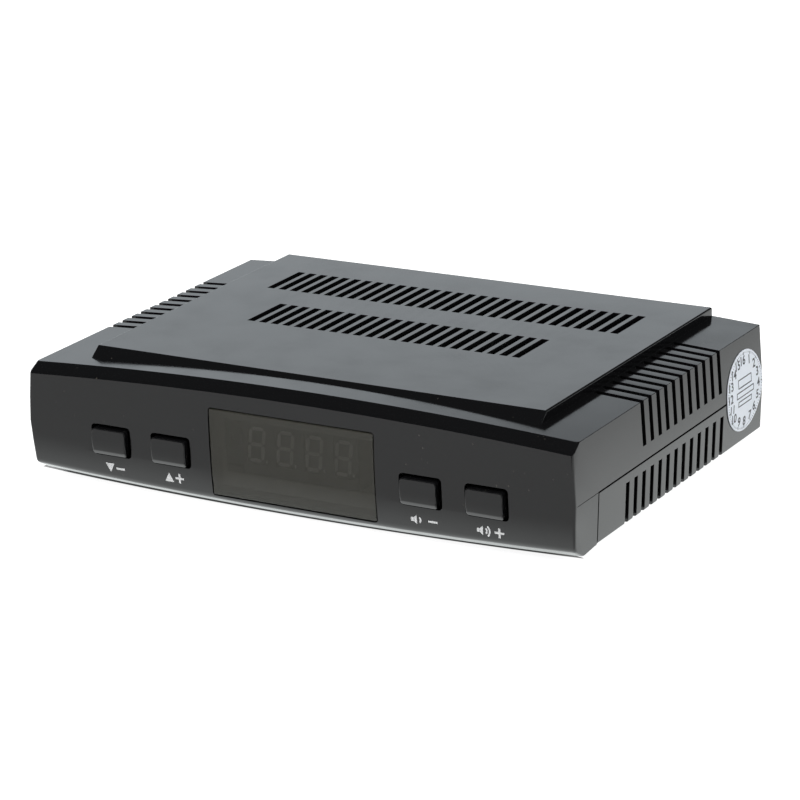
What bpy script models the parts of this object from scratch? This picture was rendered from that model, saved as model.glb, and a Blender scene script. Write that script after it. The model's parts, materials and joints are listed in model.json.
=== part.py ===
# Satellite television receiver, as the separate pieces it is assembled from.
# Metres, +Z up, front towards -Y. The origin is on the ground, under the middle of the whole box.

import math

import bmesh
import bpy

mm = 0.001

# Fits shared by all pieces
seat_gap = 0.3 * mm
overrun = 1.0 * mm
round_sides = 20

# Housing as a whole
body_width = 140.0 * mm
body_depth = 91.05 * mm
wall = 2.0 * mm
crown = 2.25 * mm
belly = 1.6 * mm
side_flare = 0.7 * mm
ground_clearance = 1.2 * mm
base_rise = 0.5 * mm
parting_height = 12.55 * mm
cover_height = 13.25 * mm
edge_radius = 0.4 * mm
edge_segments = 2
crown_steps = 20
corner_steps = 3

# Front of the top cover
chamfer_out = 2.65 * mm
chamfer_drop = 1.5 * mm
face_out = 3.1 * mm
face_drop = 2.05 * mm
face_bow = 0.5 * mm
front_corner_radius = 0.8 * mm
lip_in = 0.9 * mm
bevel_height = 3.2 * mm
bevel_turn = math.radians(60)
bevel_steps = 3
return_depth = 7.3 * mm

# Raised deck on the top cover
deck_side_ledge = 11.7 * mm
deck_rise = 3.0 * mm
deck_front = 8.0 * mm
deck_back_margin = 0.55 * mm
deck_slope_share = 1.3
deck_edge_radius = 0.45 * mm

# Rows of slots through the deck
deck_slot_pitch = 3.193 * mm
deck_slot_width = 1.9 * mm
deck_slot_length = 14.45 * mm
back_row_count = 30
back_row_shift = 0.2 * mm
back_row_margin = 13.125 * mm
front_row_count = 23
front_row_shift = -0.7 * mm
row_spacing = 24.75 * mm

# Slots round the side edges
side_slot_width = 1.65 * mm
upper_slot_pitch = 3.87 * mm
upper_slot_start = 29.7 * mm
upper_slot_back_margin = 22.6 * mm
upper_slot_drop = 10.0 * mm
lower_slot_pitch = 3.98 * mm
lower_slot_start = 21.3 * mm
lower_slot_back_margin = 21.9 * mm
lower_slot_below_parting = 2.5 * mm
lower_slot_reach = 4.0 * mm
slot_from_deck = 0.2 * mm

# Base tray
base_corner_radius = 0.5 * mm
rear_lip = 1.2 * mm
rear_lip_depth = 0.9 * mm

# Rear panel
panel_thickness = 1.5 * mm

# Case screws, their posts in the base and their bosses in the cover
case_screw_side_margin = 6.5 * mm
case_screw_front_y = 15.5 * mm
case_screw_back_margin = 12.05 * mm
case_post_radius = 3.6 * mm
case_post_height = 8.0 * mm
case_boss_radius = 3.0 * mm
case_sink_radius = 2.7 * mm
case_sink_depth = 3.75 * mm
case_pilot_depth = 9.0 * mm

# Screws
screw_shaft_radius = 1.2 * mm
screw_head_radius = 2.3 * mm
screw_head_height = 1.7 * mm
screw_hole_radius = 1.5 * mm
screw_slot_width = 0.7 * mm
screw_slot_depth = 0.7 * mm
case_screw_length = 11.5 * mm
board_screw_length = 5.0 * mm
screw_sides = 14

# Feet and the flat pads that they are stuck to
foot_radius = 4.5 * mm
foot_height = 1.8 * mm
foot_chamfer = 0.4 * mm
foot_pad_radius = 5.3 * mm
foot_side_margin = 22.0 * mm
foot_front_y = 16.0 * mm
foot_back_margin = 16.05 * mm

# Display window
window_width = 42.3 * mm
window_height = 20.2 * mm
window_shift = 0.5 * mm
window_above_lip = 3.35 * mm
window_corner_radius = 0.4 * mm
window_flange = 1.5 * mm
window_flange_thickness = 0.8 * mm

# Push buttons
button_shift = 0.85 * mm
window_to_button = 5.93 * mm
button_pitch = 16.25 * mm
button_height_above_lip = 10.55 * mm
button_width = 9.1 * mm
button_height = 5.9 * mm
button_clearance = 0.72 * mm
button_proud = 1.9 * mm
button_lean = 0.37 * mm
button_crease_share = 0.1
button_corner_radius = 0.6 * mm
button_hole_corner_radius = 0.9 * mm
button_edge_radius = 0.25 * mm
button_foot_height = 0.85 * mm
button_foot_depth = 0.42 * mm
button_flange = 0.9 * mm
button_flange_thickness = 0.8 * mm
button_stem_radius = 1.5 * mm
button_travel = 0.6 * mm

# Tact switches
switch_size = 6.0 * mm
switch_depth = 3.5 * mm
plunger_radius = 1.7 * mm
plunger_length = 2.0 * mm
plunger_proud = 1.4 * mm
plunger_free_gap = 0.35 * mm

# Key board behind the front
board_thickness = 1.6 * mm
key_board_side_margin = 7.5 * mm
key_board_top_gap = 1.15 * mm
key_board_above_lip = 5.15 * mm
display_depth = 7.2 * mm
display_width = 30.1 * mm
display_height = 14.0 * mm
display_above_lip = 6.65 * mm
digit_count = 4
digit_recess = 0.25 * mm
digit_width = 5.2 * mm
digit_height = 9.2 * mm
key_screw_from_board_end = 3.2 * mm
key_boss_over_flange = 0.5 * mm
key_boss_radius = 2.5 * mm
infrared_gap = 0.85 * mm
infrared_width = 4.6 * mm
infrared_height = 6.6 * mm
infrared_depth = 3.6 * mm
infrared_dome_radius = 1.9 * mm
infrared_dome_proud = 1.2 * mm

# Main board
main_board_side_margin = 10.7 * mm
main_board_front = 13.0 * mm
main_board_panel_gap = 0.35 * mm
main_board_above_lip = 6.7 * mm
standoff_radius = 3.0 * mm
standoff_from_board_end = 7.3 * mm
standoff_front_y = 21.0 * mm
standoff_from_board_back = 17.0 * mm
standoff_pilot_depth = 3.5 * mm

# Tuner and its aerial socket
tuner_edge_margin = 1.3 * mm
tuner_width = 22.0 * mm
tuner_depth = 36.0 * mm
tuner_height = 12.4 * mm
socket_panel_gap = 0.45 * mm
socket_axis_height = 6.2 * mm
socket_flange_radius = 5.6 * mm
socket_flange_thickness = 1.6 * mm
socket_radius = 4.75 * mm
socket_thread_depth = 0.35 * mm
socket_thread_pitch = 1.15 * mm
socket_proud = 9.5 * mm
socket_bore_radius = 3.5 * mm
socket_bore_depth = 9.0 * mm
insulator_length = 8.2 * mm
contact_hole_radius = 0.8 * mm
contact_hole_depth = 6.0 * mm

# Rear connectors, placed by shares of the way from the tuner's socket to the power jack
connector_proud = 0.35 * mm
connector_clearance = 0.4 * mm
shell_wall = 0.45 * mm
audio_place_share = 0.29
hdmi_place_share = 0.51
usb_place_share = 0.77
audio_width = 6.4 * mm
audio_height = 5.6 * mm
audio_depth = 12.0 * mm
audio_nose_radius = 2.7 * mm
audio_bore_radius = 1.8 * mm
audio_bore_depth = 10.5 * mm
audio_nose_length = 3.4 * mm
hdmi_width = 14.6 * mm
hdmi_height = 5.8 * mm
hdmi_depth = 11.2 * mm
hdmi_slope = 1.8 * mm
hdmi_tongue_width = 9.6 * mm
hdmi_tongue_thickness = 1.2 * mm
usb_width = 13.2 * mm
usb_height = 5.8 * mm
usb_depth = 14.0 * mm
usb_tongue_width = 10.6 * mm
usb_tongue_thickness = 1.8 * mm
tongue_root = 1.6 * mm
tongue_recess = 1.4 * mm
power_side_margin = 21.0 * mm
power_width = 9.0 * mm
power_height = 10.6 * mm
power_depth = 13.0 * mm
power_bore_radius = 3.1 * mm
power_bore_depth = 9.5 * mm
power_pin_radius = 1.0 * mm
power_pin_length = 8.4 * mm

# Parts on the main board, placed by shares of its half width and of its depth from the front
processor_place_shares = (0.1, 0.47)
memory_place_shares = (-0.33, 0.45)
flash_place_shares = (0.44, 0.31)
input_capacitor_place_shares = (0.84, 0.65)
output_capacitor_place_shares = (0.64, 0.6)
inductor_place_shares = (0.84, 0.43)
crystal_place_shares = (0.42, 0.52)
aerial_capacitor_depth_share = 0.68
aerial_capacitor_gap = 5.5 * mm
processor_size = 17.0 * mm
processor_height = 1.4 * mm
sink_size = 20.0 * mm
sink_base = 1.6 * mm
sink_fin_height = 4.6 * mm
sink_fin_count = 6
sink_fin_thickness = 1.2 * mm
memory_width = 9.0 * mm
memory_depth = 13.0 * mm
chip_height = 1.1 * mm
flash_width = 5.3 * mm
flash_depth = 7.9 * mm
capacitor_sides = 18
input_capacitor_radius = 4.0 * mm
input_capacitor_height = 11.5 * mm
output_capacitor_radius = 3.15 * mm
output_capacitor_height = 11.0 * mm
aerial_capacitor_radius = 2.5 * mm
aerial_capacitor_height = 10.5 * mm
capacitor_groove = 0.35 * mm
inductor_size = 8.0 * mm
inductor_height = 4.0 * mm
inductor_core_radius = 3.0 * mm
crystal_length = 11.0 * mm
crystal_width = 4.6 * mm
crystal_height = 3.4 * mm
link_width = 20.0 * mm
link_height = 4.0 * mm
link_depth = 6.5 * mm

# Round label on the right side
label_radius = 9.6 * mm
label_thickness = 0.2 * mm
label_back_margin = 10.05 * mm
label_above_parting = 0.35 * mm
label_arc_steps = 20

# Heights and places that follow from the sizes above
body_half = body_width / 2
deck_width = body_width - 2 * deck_side_ledge
back_row_y = body_depth - deck_back_margin - back_row_margin - deck_slot_length / 2
front_row_y = back_row_y - row_spacing
lip_z = ground_clearance + belly
base_z = lip_z + base_rise
parting_z = lip_z + parting_height
ledge_z = parting_z + cover_height
deck_z = ledge_z + deck_rise
inner_front = wall - face_out
bevel_rise = bevel_height * math.sin(bevel_turn) - (face_out + lip_in) * math.cos(bevel_turn)
bevel_radius = bevel_rise / (1 - math.cos(bevel_turn))
button_front = -(face_out + button_proud)
front_line = -(body_depth + socket_proud + button_front) / 2
window_z = ground_clearance + window_above_lip
button_z = lip_z + button_height_above_lip
flange_front = inner_front + seat_gap
display_front = flange_front + window_flange_thickness + seat_gap
key_board_y = display_front + display_depth + seat_gap
key_board_z = lip_z + key_board_above_lip
key_board_height = ledge_z - wall - key_board_top_gap - key_board_z
key_board_half_width = body_half - key_board_side_margin
key_screw_x = key_board_half_width - key_screw_from_board_end
hole_half = button_width / 2 + button_clearance
hole_half_height = button_height / 2 + button_clearance
key_screw_z = button_z + hole_half_height + button_flange + key_boss_over_flange + key_boss_radius
infrared_offset = display_width / 2 + infrared_gap + infrared_width / 2
main_board_z = lip_z + main_board_above_lip
board_top = main_board_z + board_thickness
part_z = board_top + seat_gap
panel_back = body_depth - rear_lip_depth - seat_gap
panel_front = panel_back - panel_thickness
main_board_back = panel_front - main_board_panel_gap
main_board_depth = main_board_back - main_board_front
main_board_half_width = body_half - main_board_side_margin
standoff_x = main_board_half_width - standoff_from_board_end
standoff_back_y = main_board_back - standoff_from_board_back
tuner_x = tuner_edge_margin + tuner_width / 2 - main_board_half_width
tuner_back = panel_front - socket_panel_gap - socket_flange_thickness - seat_gap
power_x = body_half - power_side_margin
audio_x = tuner_x + audio_place_share * (power_x - tuner_x)
hdmi_x = tuner_x + hdmi_place_share * (power_x - tuner_x)
usb_x = tuner_x + usb_place_share * (power_x - tuner_x)
connector_back = body_depth + connector_proud
socket_z = part_z + socket_axis_height
switch_back = key_board_y - seat_gap
switch_front = switch_back - switch_depth
plunger_front = switch_front - plunger_proud
post_top = base_z + case_post_height
boss_bottom = post_top + seat_gap
foot_pad_z = foot_height + seat_gap
label_y = body_depth - label_back_margin
case_screw_x = body_half - case_screw_side_margin
case_screw_back_y = body_depth - case_screw_back_margin
foot_x = body_half - foot_side_margin
foot_back_y = body_depth - foot_back_margin
inner_button_x = window_width / 2 + window_to_button + hole_half
button_places = {
    "channel_down": button_shift - inner_button_x - button_pitch,
    "channel_up": button_shift - inner_button_x,
    "volume_down": button_shift + inner_button_x,
    "volume_up": button_shift + inner_button_x + button_pitch,
}
case_screw_places = {
    "front_left": (-case_screw_x, case_screw_front_y),
    "front_right": (case_screw_x, case_screw_front_y),
    "back_left": (-case_screw_x, case_screw_back_y),
    "back_right": (case_screw_x, case_screw_back_y),
}
foot_places = {
    "front_left": (-foot_x, foot_front_y),
    "front_right": (foot_x, foot_front_y),
    "back_left": (-foot_x, foot_back_y),
    "back_right": (foot_x, foot_back_y),
}


def clear_scene():
    for item in list(bpy.data.objects):
        bpy.data.objects.remove(item, do_unlink=True)


def finish(name, colour, roughness, metallic=0.0):
    made = bpy.data.materials.get(name) or bpy.data.materials.new(name)
    made.use_nodes = True
    shader = made.node_tree.nodes["Principled BSDF"]
    shader.inputs["Base Color"].default_value = (*colour, 1.0)
    shader.inputs["Roughness"].default_value = roughness
    shader.inputs["Metallic"].default_value = metallic
    return made


def back_from_front(distance):
    return front_line + distance


def top_at(x):
    return ledge_z + crown * (1 - (x / body_half) ** 2)


def lip_at(x):
    return lip_z - belly * (1 - (x / body_half) ** 2)


def base_at(x):
    return lip_at(x) + base_rise


def half_width_at(z):
    if z >= parting_z:
        share = max(0.0, (ledge_z - z) / cover_height)
    else:
        share = max(0.0, (z - lip_z) / parting_height)
    return body_half + side_flare * share


def face_at(x, z):
    high = top_at(x) - face_drop
    low = lip_at(x) + bevel_height
    share = min(1.0, max(0.0, (z - low) / (high - low)))
    return -(face_out + face_bow * (1 - (2 * share - 1) ** 2))


def new_solid(name, corners, faces, look, smooth=False):
    mesh = bpy.data.meshes.new(name)
    mesh.from_pydata(corners, [], faces)
    shape = bmesh.new()
    shape.from_mesh(mesh)
    bmesh.ops.recalc_face_normals(shape, faces=shape.faces)
    shape.to_mesh(mesh)
    shape.free()
    if smooth:
        mesh.shade_smooth()
        mesh.set_sharp_from_angle(angle=math.radians(35))
    made = bpy.data.objects.new(name, mesh)
    bpy.context.collection.objects.link(made)
    if look:
        mesh.materials.append(look)
    return made


def oriented(across, up, along, axis):
    if axis == "X":
        return (along, across, up)
    if axis == "Y":
        return (across, along, up)
    return (across, up, along)


def prism_group(name, outlines, axis, start, end, look=None):
    corners = []
    faces = []
    for outline in outlines:
        first = len(corners)
        count = len(outline)
        for along in (start, end):
            corners += [oriented(a, b, along, axis) for a, b in outline]
        faces += [tuple(range(first, first + count)), tuple(range(first + count, first + 2 * count))]
        for i in range(count):
            j = (i + 1) % count
            faces.append((first + i, first + j, first + count + j, first + count + i))
    return new_solid(name, corners, faces, look)


def prism(name, outline, axis, start, end, look=None):
    return prism_group(name, [outline], axis, start, end, look)


def rounded_outline(centre, half_width, half_height, radius):
    points = []
    for corner, (side, up) in enumerate(((1, 1), (-1, 1), (-1, -1), (1, -1))):
        for i in range(corner_steps + 1):
            angle = math.pi / 2 * (corner + i / corner_steps)
            points.append((centre[0] + side * (half_width - radius) + radius * math.cos(angle),
                           centre[1] + up * (half_height - radius) + radius * math.sin(angle)))
    return points


def boxes(name, extents, look=None):
    corners = []
    faces = []
    for low, high in extents:
        first = len(corners)
        for x in (low[0], high[0]):
            for y in (low[1], high[1]):
                for z in (low[2], high[2]):
                    corners.append((x, y, z))
        for side in ((0, 1, 3, 2), (4, 6, 7, 5), (0, 4, 5, 1), (2, 3, 7, 6), (0, 2, 6, 4), (1, 5, 7, 3)):
            faces.append(tuple(first + i for i in side))
    return new_solid(name, corners, faces, look)


def box(name, low, high, look=None):
    return boxes(name, [(low, high)], look)


def turned(name, profile, centre, axis, look=None, sides=round_sides):
    return turned_group(name, [(profile, centre)], axis, look, sides)


def turned_group(name, members, axis, look=None, sides=round_sides):
    corners = []
    faces = []
    for profile, centre in members:
        rings = []
        for radius, along in profile:
            count = 1 if radius == 0 else sides
            rings.append([len(corners) + i for i in range(count)])
            for i in range(count):
                angle = 2 * math.pi * (i + 0.5) / sides
                across = centre[0] + radius * math.cos(angle)
                up = centre[1] + radius * math.sin(angle)
                corners.append(oriented(across, up, along, axis))
        for ring, following in zip(rings, rings[1:]):
            for i in range(sides):
                j = (i + 1) % sides
                if len(ring) == 1:
                    faces.append((ring[0], following[i], following[j]))
                elif len(following) == 1:
                    faces.append((ring[i], ring[j], following[0]))
                else:
                    faces.append((ring[i], ring[j], following[j], following[i]))
    return new_solid(name, corners, faces, look, smooth=True)


def rod(radius, start, end):
    return [(0, start), (radius, start), (radius, end), (0, end)]


def loft(name, rings, look=None, fold=None):
    count = len(rings[0])
    corners = [corner for ring in rings for corner in ring]
    faces = []
    for first in range(0, count * (len(rings) - 1), count):
        for i in range(count):
            j = (i + 1) % count
            faces.append((first + i, first + j, first + count + j, first + count + i))
    for first in (0, count * (len(rings) - 1)):
        if fold:
            one, other = fold
            faces.append(tuple(first + i for i in range(one, other + 1)))
            faces.append(tuple(first + i for i in [*range(other, count), *range(one + 1)]))
        else:
            faces.append(tuple(first + i for i in range(count)))
    return new_solid(name, corners, faces, look)


def as_tool(tool):
    tool.hide_render = True
    tool.display_type = "WIRE"
    return tool


def combine(target, tool, operation):
    step = target.modifiers.new(tool.name, "BOOLEAN")
    step.operation = operation
    step.solver = "EXACT"
    step.object = as_tool(tool)


def cut(target, tool):
    combine(target, tool, "DIFFERENCE")


def weld(target, tool):
    combine(target, tool, "UNION")


def trim(target, tool):
    combine(target, tool, "INTERSECT")


def soften(target, width, segments=edge_segments, angle=50):
    step = target.modifiers.new("soft edges", "BEVEL")
    step.width = width
    step.segments = segments
    step.limit_method = "ANGLE"
    step.angle_limit = math.radians(angle)
    step.use_clamp_overlap = True


def even_shares(steps, reach=1.0):
    return [reach * (2 * i / steps - 1) for i in range(steps + 1)]


def rounded_ends(section, radius):
    reach = 1 - radius / body_half
    rings = [section(share, 0) for share in even_shares(crown_steps, reach)]
    for i in range(1, corner_steps + 1):
        angle = math.pi / 2 * i / corner_steps
        share = reach + radius / body_half * math.sin(angle)
        setback = radius * (1 - math.cos(angle))
        rings.insert(0, section(-share, setback))
        rings.append(section(share, setback))
    return rings


# Cross-sections of the housing, one ring of points for each place across the width

def across(share, inset, y, z):
    return (share * (half_width_at(z) - inset), back_from_front(y), z)


def cover_section(share, setback):
    x = share * body_half
    top = top_at(x)
    lip = lip_at(x)
    low = lip + bevel_height
    high = top - face_drop
    points = [(0, top), (-chamfer_out, top - chamfer_drop)]
    for z in (high, (high + parting_z) / 2, parting_z, (parting_z + low) / 2):
        points.append((face_at(x, z), z))
    for i in range(bevel_steps + 1):
        angle = bevel_turn * i / bevel_steps
        y = bevel_radius * (1 - math.cos(angle)) - face_out
        points.append((y, low - bevel_radius * math.sin(angle)))
    points.append((lip_in, lip))
    points = [(y + setback, z) for y, z in points]
    points += [(return_depth, lip + base_rise), (return_depth, parting_z)]
    points += [(body_depth, parting_z), (body_depth, top)]
    return [across(share, 0, y, z) for y, z in points]


def cover_cavity_section(share):
    x = share * body_half
    top = top_at(x) - wall
    lip = lip_at(x)
    lip_top = lip + wall / math.sin(bevel_turn)
    back = body_depth - rear_lip_depth
    points = [(inner_front, top), (inner_front, lip_top + (lip_in - inner_front) / math.tan(bevel_turn)),
              (lip_in, lip_top), (lip_in, lip - overrun), (back, lip - overrun), (back, top)]
    return [across(share, wall, y, z) for y, z in points]


def rear_opening_section(share):
    x = share * body_half
    top = top_at(x) - wall - rear_lip
    low = base_at(x) + wall + rear_lip
    front = body_depth - rear_lip_depth - overrun
    back = body_depth + overrun
    points = [(front, low), (back, low), (back, top), (front, top)]
    return [across(share, wall + rear_lip, y, z) for y, z in points]


def base_section(share, rise):
    x = share * body_half
    low = base_at(x) + rise
    top = parting_z - seat_gap
    front = lip_in + seat_gap
    points = [(front, low), (body_depth, low), (body_depth, top), (front, top)]
    return [across(share, 0, y, z) for y, z in points]


def base_cavity_section(share):
    x = share * body_half
    low = base_at(x) + wall
    top = parting_z + overrun
    front = lip_in - overrun
    back = body_depth - rear_lip_depth
    points = [(front, low), (back, low), (back, top), (front, top)]
    return [across(share, wall, y, z) for y, z in points]


def deck_solid(name, inset, look=None):
    half = deck_width / 2 - inset
    front = deck_front + inset
    back = body_depth - deck_back_margin - inset
    top = deck_z - inset
    low = top - (deck_z - ledge_z + wall / 2)
    foot = front - (top - low) * deck_slope_share
    outline = [(foot, low), (front, top), (back, top), (back, low)]
    return prism(name, [(back_from_front(y), z) for y, z in outline], "X", -half, half, look)


def slot_row(count, shift, y):
    extents = []
    for i in range(count):
        x = shift + deck_slot_pitch * (i - (count - 1) / 2)
        low = (x - deck_slot_width / 2, back_from_front(y - deck_slot_length / 2), deck_z - wall - overrun)
        high = (x + deck_slot_width / 2, back_from_front(y + deck_slot_length / 2), deck_z + overrun)
        extents.append((low, high))
    return extents


def side_slots(pitch, start, back_margin, inner, low, high):
    extents = []
    outer = body_half + side_flare + overrun
    for i in range(int((body_depth - back_margin - start) / pitch) + 1):
        y = back_from_front(start + pitch * i)
        for near, far in ((inner, outer), (-outer, -inner)):
            extents.append(((near, y - side_slot_width / 2, low), (far, y + side_slot_width / 2, high)))
    return extents


def make_top_cover(look):
    rings = rounded_ends(cover_section, front_corner_radius)
    shares = even_shares(crown_steps)
    seam = len(rings[0]) - 3
    cover = loft("top_cover", rings, look, fold=(4, seam))
    soften(cover, edge_radius)
    deck = deck_solid("deck_form", 0)
    soften(deck, deck_edge_radius)
    weld(cover, deck)
    cut(cover, loft("cover_cavity", [cover_cavity_section(share) for share in shares]))
    cut(cover, deck_solid("deck_pocket", wall))
    cut(cover, loft("cover_rear_opening", [rear_opening_section(share) for share in shares]))
    bosses = []
    pilots = []
    for x, y in case_screw_places.values():
        centre = (x, back_from_front(y))
        bosses.append((rod(case_boss_radius, boss_bottom, ledge_z - wall / 2), centre))
        pilots.append((rod(screw_hole_radius, boss_bottom - overrun, boss_bottom + case_pilot_depth), centre))
    weld(cover, turned_group("case_bosses", bosses, "Z"))
    cut(cover, turned_group("case_pilots", pilots, "Z", sides=screw_sides))
    stubs = []
    holes = []
    for x in (-key_screw_x, key_screw_x):
        start = back_from_front(inner_front - wall / 2)
        end = back_from_front(key_board_y - seat_gap)
        stubs.append((rod(key_boss_radius, start, end), (x, key_screw_z)))
        pilot = back_from_front(key_board_y - seat_gap - board_screw_length)
        holes.append((rod(screw_hole_radius, pilot, end + overrun), (x, key_screw_z)))
    weld(cover, turned_group("key_bosses", stubs, "Y"))
    cut(cover, turned_group("key_pilots", holes, "Y", sides=screw_sides))
    front = back_from_front(-(face_out + face_bow + overrun))
    back = back_from_front(inner_front + overrun)
    holes = [window_outline(seat_gap)]
    for x in button_places.values():
        holes.append(rounded_outline((x, button_z), hole_half, hole_half_height, button_hole_corner_radius))
    cut(cover, prism_group("front_holes", holes, "Y", front, back))
    slots = slot_row(back_row_count, back_row_shift, back_row_y)
    slots += slot_row(front_row_count, front_row_shift, front_row_y)
    cut(cover, boxes("deck_slots", slots))
    inner = deck_width / 2 + slot_from_deck
    low = ledge_z - upper_slot_drop
    cut(cover, boxes("upper_side_slots", side_slots(
        upper_slot_pitch, upper_slot_start, upper_slot_back_margin, inner, low, deck_z + overrun)))


def make_base_tray(look):
    tray = loft("base_tray", rounded_ends(base_section, base_corner_radius), look)
    shares = even_shares(crown_steps)
    cut(tray, loft("base_cavity", [base_cavity_section(share) for share in shares]))
    cut(tray, loft("base_rear_opening", [rear_opening_section(share) for share in shares]))
    inner = body_half - wall - seat_gap
    outer = body_half + side_flare + overrun
    front = back_from_front(lip_in - overrun)
    back = back_from_front(return_depth + seat_gap)
    notches = []
    for near, far in ((inner, outer), (-outer, -inner)):
        notches.append(((near, front, ground_clearance), (far, back, parting_z + overrun)))
    cut(tray, boxes("return_notches", notches))
    posts = []
    sinks = []
    for x, y in case_screw_places.values():
        centre = (x, back_from_front(y))
        seat = base_z + case_sink_depth
        posts.append((rod(case_post_radius, base_z + wall / 2, post_top), centre))
        bore = [(0, ground_clearance), (case_sink_radius, ground_clearance), (case_sink_radius, seat),
                (screw_hole_radius, seat), (screw_hole_radius, post_top + overrun), (0, post_top + overrun)]
        sinks.append((bore, centre))
    weld(tray, turned_group("case_posts", posts, "Z"))
    cut(tray, turned_group("case_sinks", sinks, "Z", sides=screw_sides))
    pads = []
    for x, y in foot_places.values():
        pads.append((rod(foot_pad_radius, foot_pad_z, base_at(x) + wall / 2), (x, back_from_front(y))))
    weld(tray, turned_group("foot_pads", pads, "Z"))
    standoffs = []
    pilots = []
    top = main_board_z - seat_gap
    for x in (-standoff_x, standoff_x):
        for y in (standoff_front_y, standoff_back_y):
            centre = (x, back_from_front(y))
            standoffs.append((rod(standoff_radius, base_at(x) + wall / 2, top), centre))
            if y == standoff_front_y:
                pilots.append((rod(screw_hole_radius, top - standoff_pilot_depth, top + overrun), centre))
    weld(tray, turned_group("standoffs", standoffs, "Z"))
    cut(tray, turned_group("standoff_pilots", pilots, "Z", sides=screw_sides))
    inner = body_half - lower_slot_reach
    high = parting_z - lower_slot_below_parting
    cut(tray, boxes("lower_side_slots", side_slots(
        lower_slot_pitch, lower_slot_start, lower_slot_back_margin, inner, ground_clearance, high)))


def rear_panel_section(share):
    x = share * body_half
    low = base_at(x) + wall + seat_gap
    top = top_at(x) - wall - seat_gap
    points = [(panel_front, low), (panel_back, low), (panel_back, top), (panel_front, top)]
    return [across(share, wall + seat_gap, y, z) for y, z in points]


def connector_gap(centre, width, height):
    half = width / 2 + connector_clearance
    low = (centre - half, back_from_front(panel_front - overrun), part_z - connector_clearance)
    high = (centre + half, back_from_front(panel_back + overrun), part_z + height + connector_clearance)
    return (low, high)


def make_rear_panel(look):
    panel = loft("rear_panel", [rear_panel_section(share) for share in even_shares(crown_steps)], look)
    gaps = [connector_gap(hdmi_x, hdmi_width, hdmi_height), connector_gap(usb_x, usb_width, usb_height),
            connector_gap(power_x, power_width, power_height)]
    cut(panel, boxes("connector_gaps", gaps))
    start = back_from_front(panel_front - overrun)
    end = back_from_front(panel_back + overrun)
    rounds = [(rod(socket_radius + connector_clearance, start, end), (tuner_x, socket_z)),
              (rod(audio_nose_radius + connector_clearance, start, end), (audio_x, part_z + audio_height / 2))]
    cut(panel, turned_group("round_gaps", rounds, "Y"))


def window_outline(gap):
    centre = (window_shift, window_z + window_height / 2)
    radius = window_corner_radius + gap
    return rounded_outline(centre, window_width / 2 + gap, window_height / 2 + gap, radius)


def make_display_window(look):
    half = window_width / 2
    back = flange_front + window_flange_thickness / 2
    steps = 4
    rings = []
    for share in even_shares(steps):
        x = window_shift + share * half
        points = []
        for i in range(steps + 1):
            z = window_z + window_height * i / steps
            points.append((x, back_from_front(face_at(x, z)), z))
        points.append((x, back_from_front(back), window_z + window_height))
        points.append((x, back_from_front(back), window_z))
        rings.append(points)
    window = loft("display_window", rings, look)
    start = back_from_front(-(face_out + face_bow + overrun))
    trim(window, prism("window_corner_form", window_outline(0), "Y", start, back_from_front(back + overrun)))
    reach = half + window_flange
    low = (window_shift - reach, back_from_front(flange_front), window_z + window_flange)
    high = (window_shift + reach, back_from_front(flange_front + window_flange_thickness),
            window_z + window_height + window_flange / 2)
    weld(window, box("window_flange_form", low, high))


def cap_ring(middle, progress, place=None):
    turn = math.pi / 2 * progress
    edge_in = button_edge_radius * (1 - math.cos(turn))
    foot_in = button_foot_height * progress
    centre = (middle, button_z + (foot_in - edge_in) / 2)
    half_height = (button_height - edge_in - foot_in) / 2
    outline = rounded_outline(centre, button_width / 2 - edge_in, half_height, button_corner_radius - edge_in)
    crease = button_z + button_crease_share * button_height
    lean_share = button_lean / (button_height / 2 - button_crease_share * button_height)
    half_ring = 2 * corner_steps + 3
    outline.insert(0, (outline[0][0], crease))
    outline.insert(half_ring, (outline[half_ring - 1][0], crease))
    ring = []
    for i, (x, z) in enumerate(outline):
        foot_share = max(0, min(i - half_ring - 1, len(outline) - 1 - i)) / corner_steps
        y = button_front + lean_share * max(0, z - crease)
        y += (1 - foot_share) * button_edge_radius * (1 - math.sin(turn))
        y += foot_share * button_foot_depth * (1 - progress)
        ring.append((x, back_from_front(y if place is None else place), z))
    return ring


def make_button(name, x, look):
    rings = [cap_ring(x, 0, flange_front + button_flange_thickness / 2)]
    for i in range(corner_steps + 1):
        rings.append(cap_ring(x, i / corner_steps))
    cap = loft(name + "_button", rings, look, fold=(0, 2 * corner_steps + 3))
    reach = hole_half + button_flange
    tall = hole_half_height + button_flange
    flange_back = flange_front + button_flange_thickness
    low = (x - reach, back_from_front(flange_front), button_z - tall)
    high = (x + reach, back_from_front(flange_back), button_z + tall)
    weld(cap, box(name + "_flange_form", low, high))
    start = back_from_front(flange_back - button_flange_thickness / 2)
    end = back_from_front(plunger_front - plunger_free_gap)
    weld(cap, turned(name + "_stem_form", rod(button_stem_radius, start, end), (x, button_z), "Y",
                     sides=screw_sides))


def make_switch(name, x, body_look, plunger_look):
    half = switch_size / 2
    body = box(name + "_switch", (x - half, back_from_front(switch_front), button_z - half),
               (x + half, back_from_front(switch_back), button_z + half), body_look)
    well = plunger_length - plunger_proud + button_travel + seat_gap
    start = back_from_front(switch_front - overrun)
    end = back_from_front(switch_front + well)
    cut(body, turned(name + "_well_form", rod(plunger_radius + seat_gap, start, end), (x, button_z), "Y",
                     sides=screw_sides))
    start = back_from_front(plunger_front)
    end = back_from_front(plunger_front + plunger_length)
    turned(name + "_plunger", rod(plunger_radius, start, end), (x, button_z), "Y", plunger_look,
           sides=screw_sides)


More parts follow.
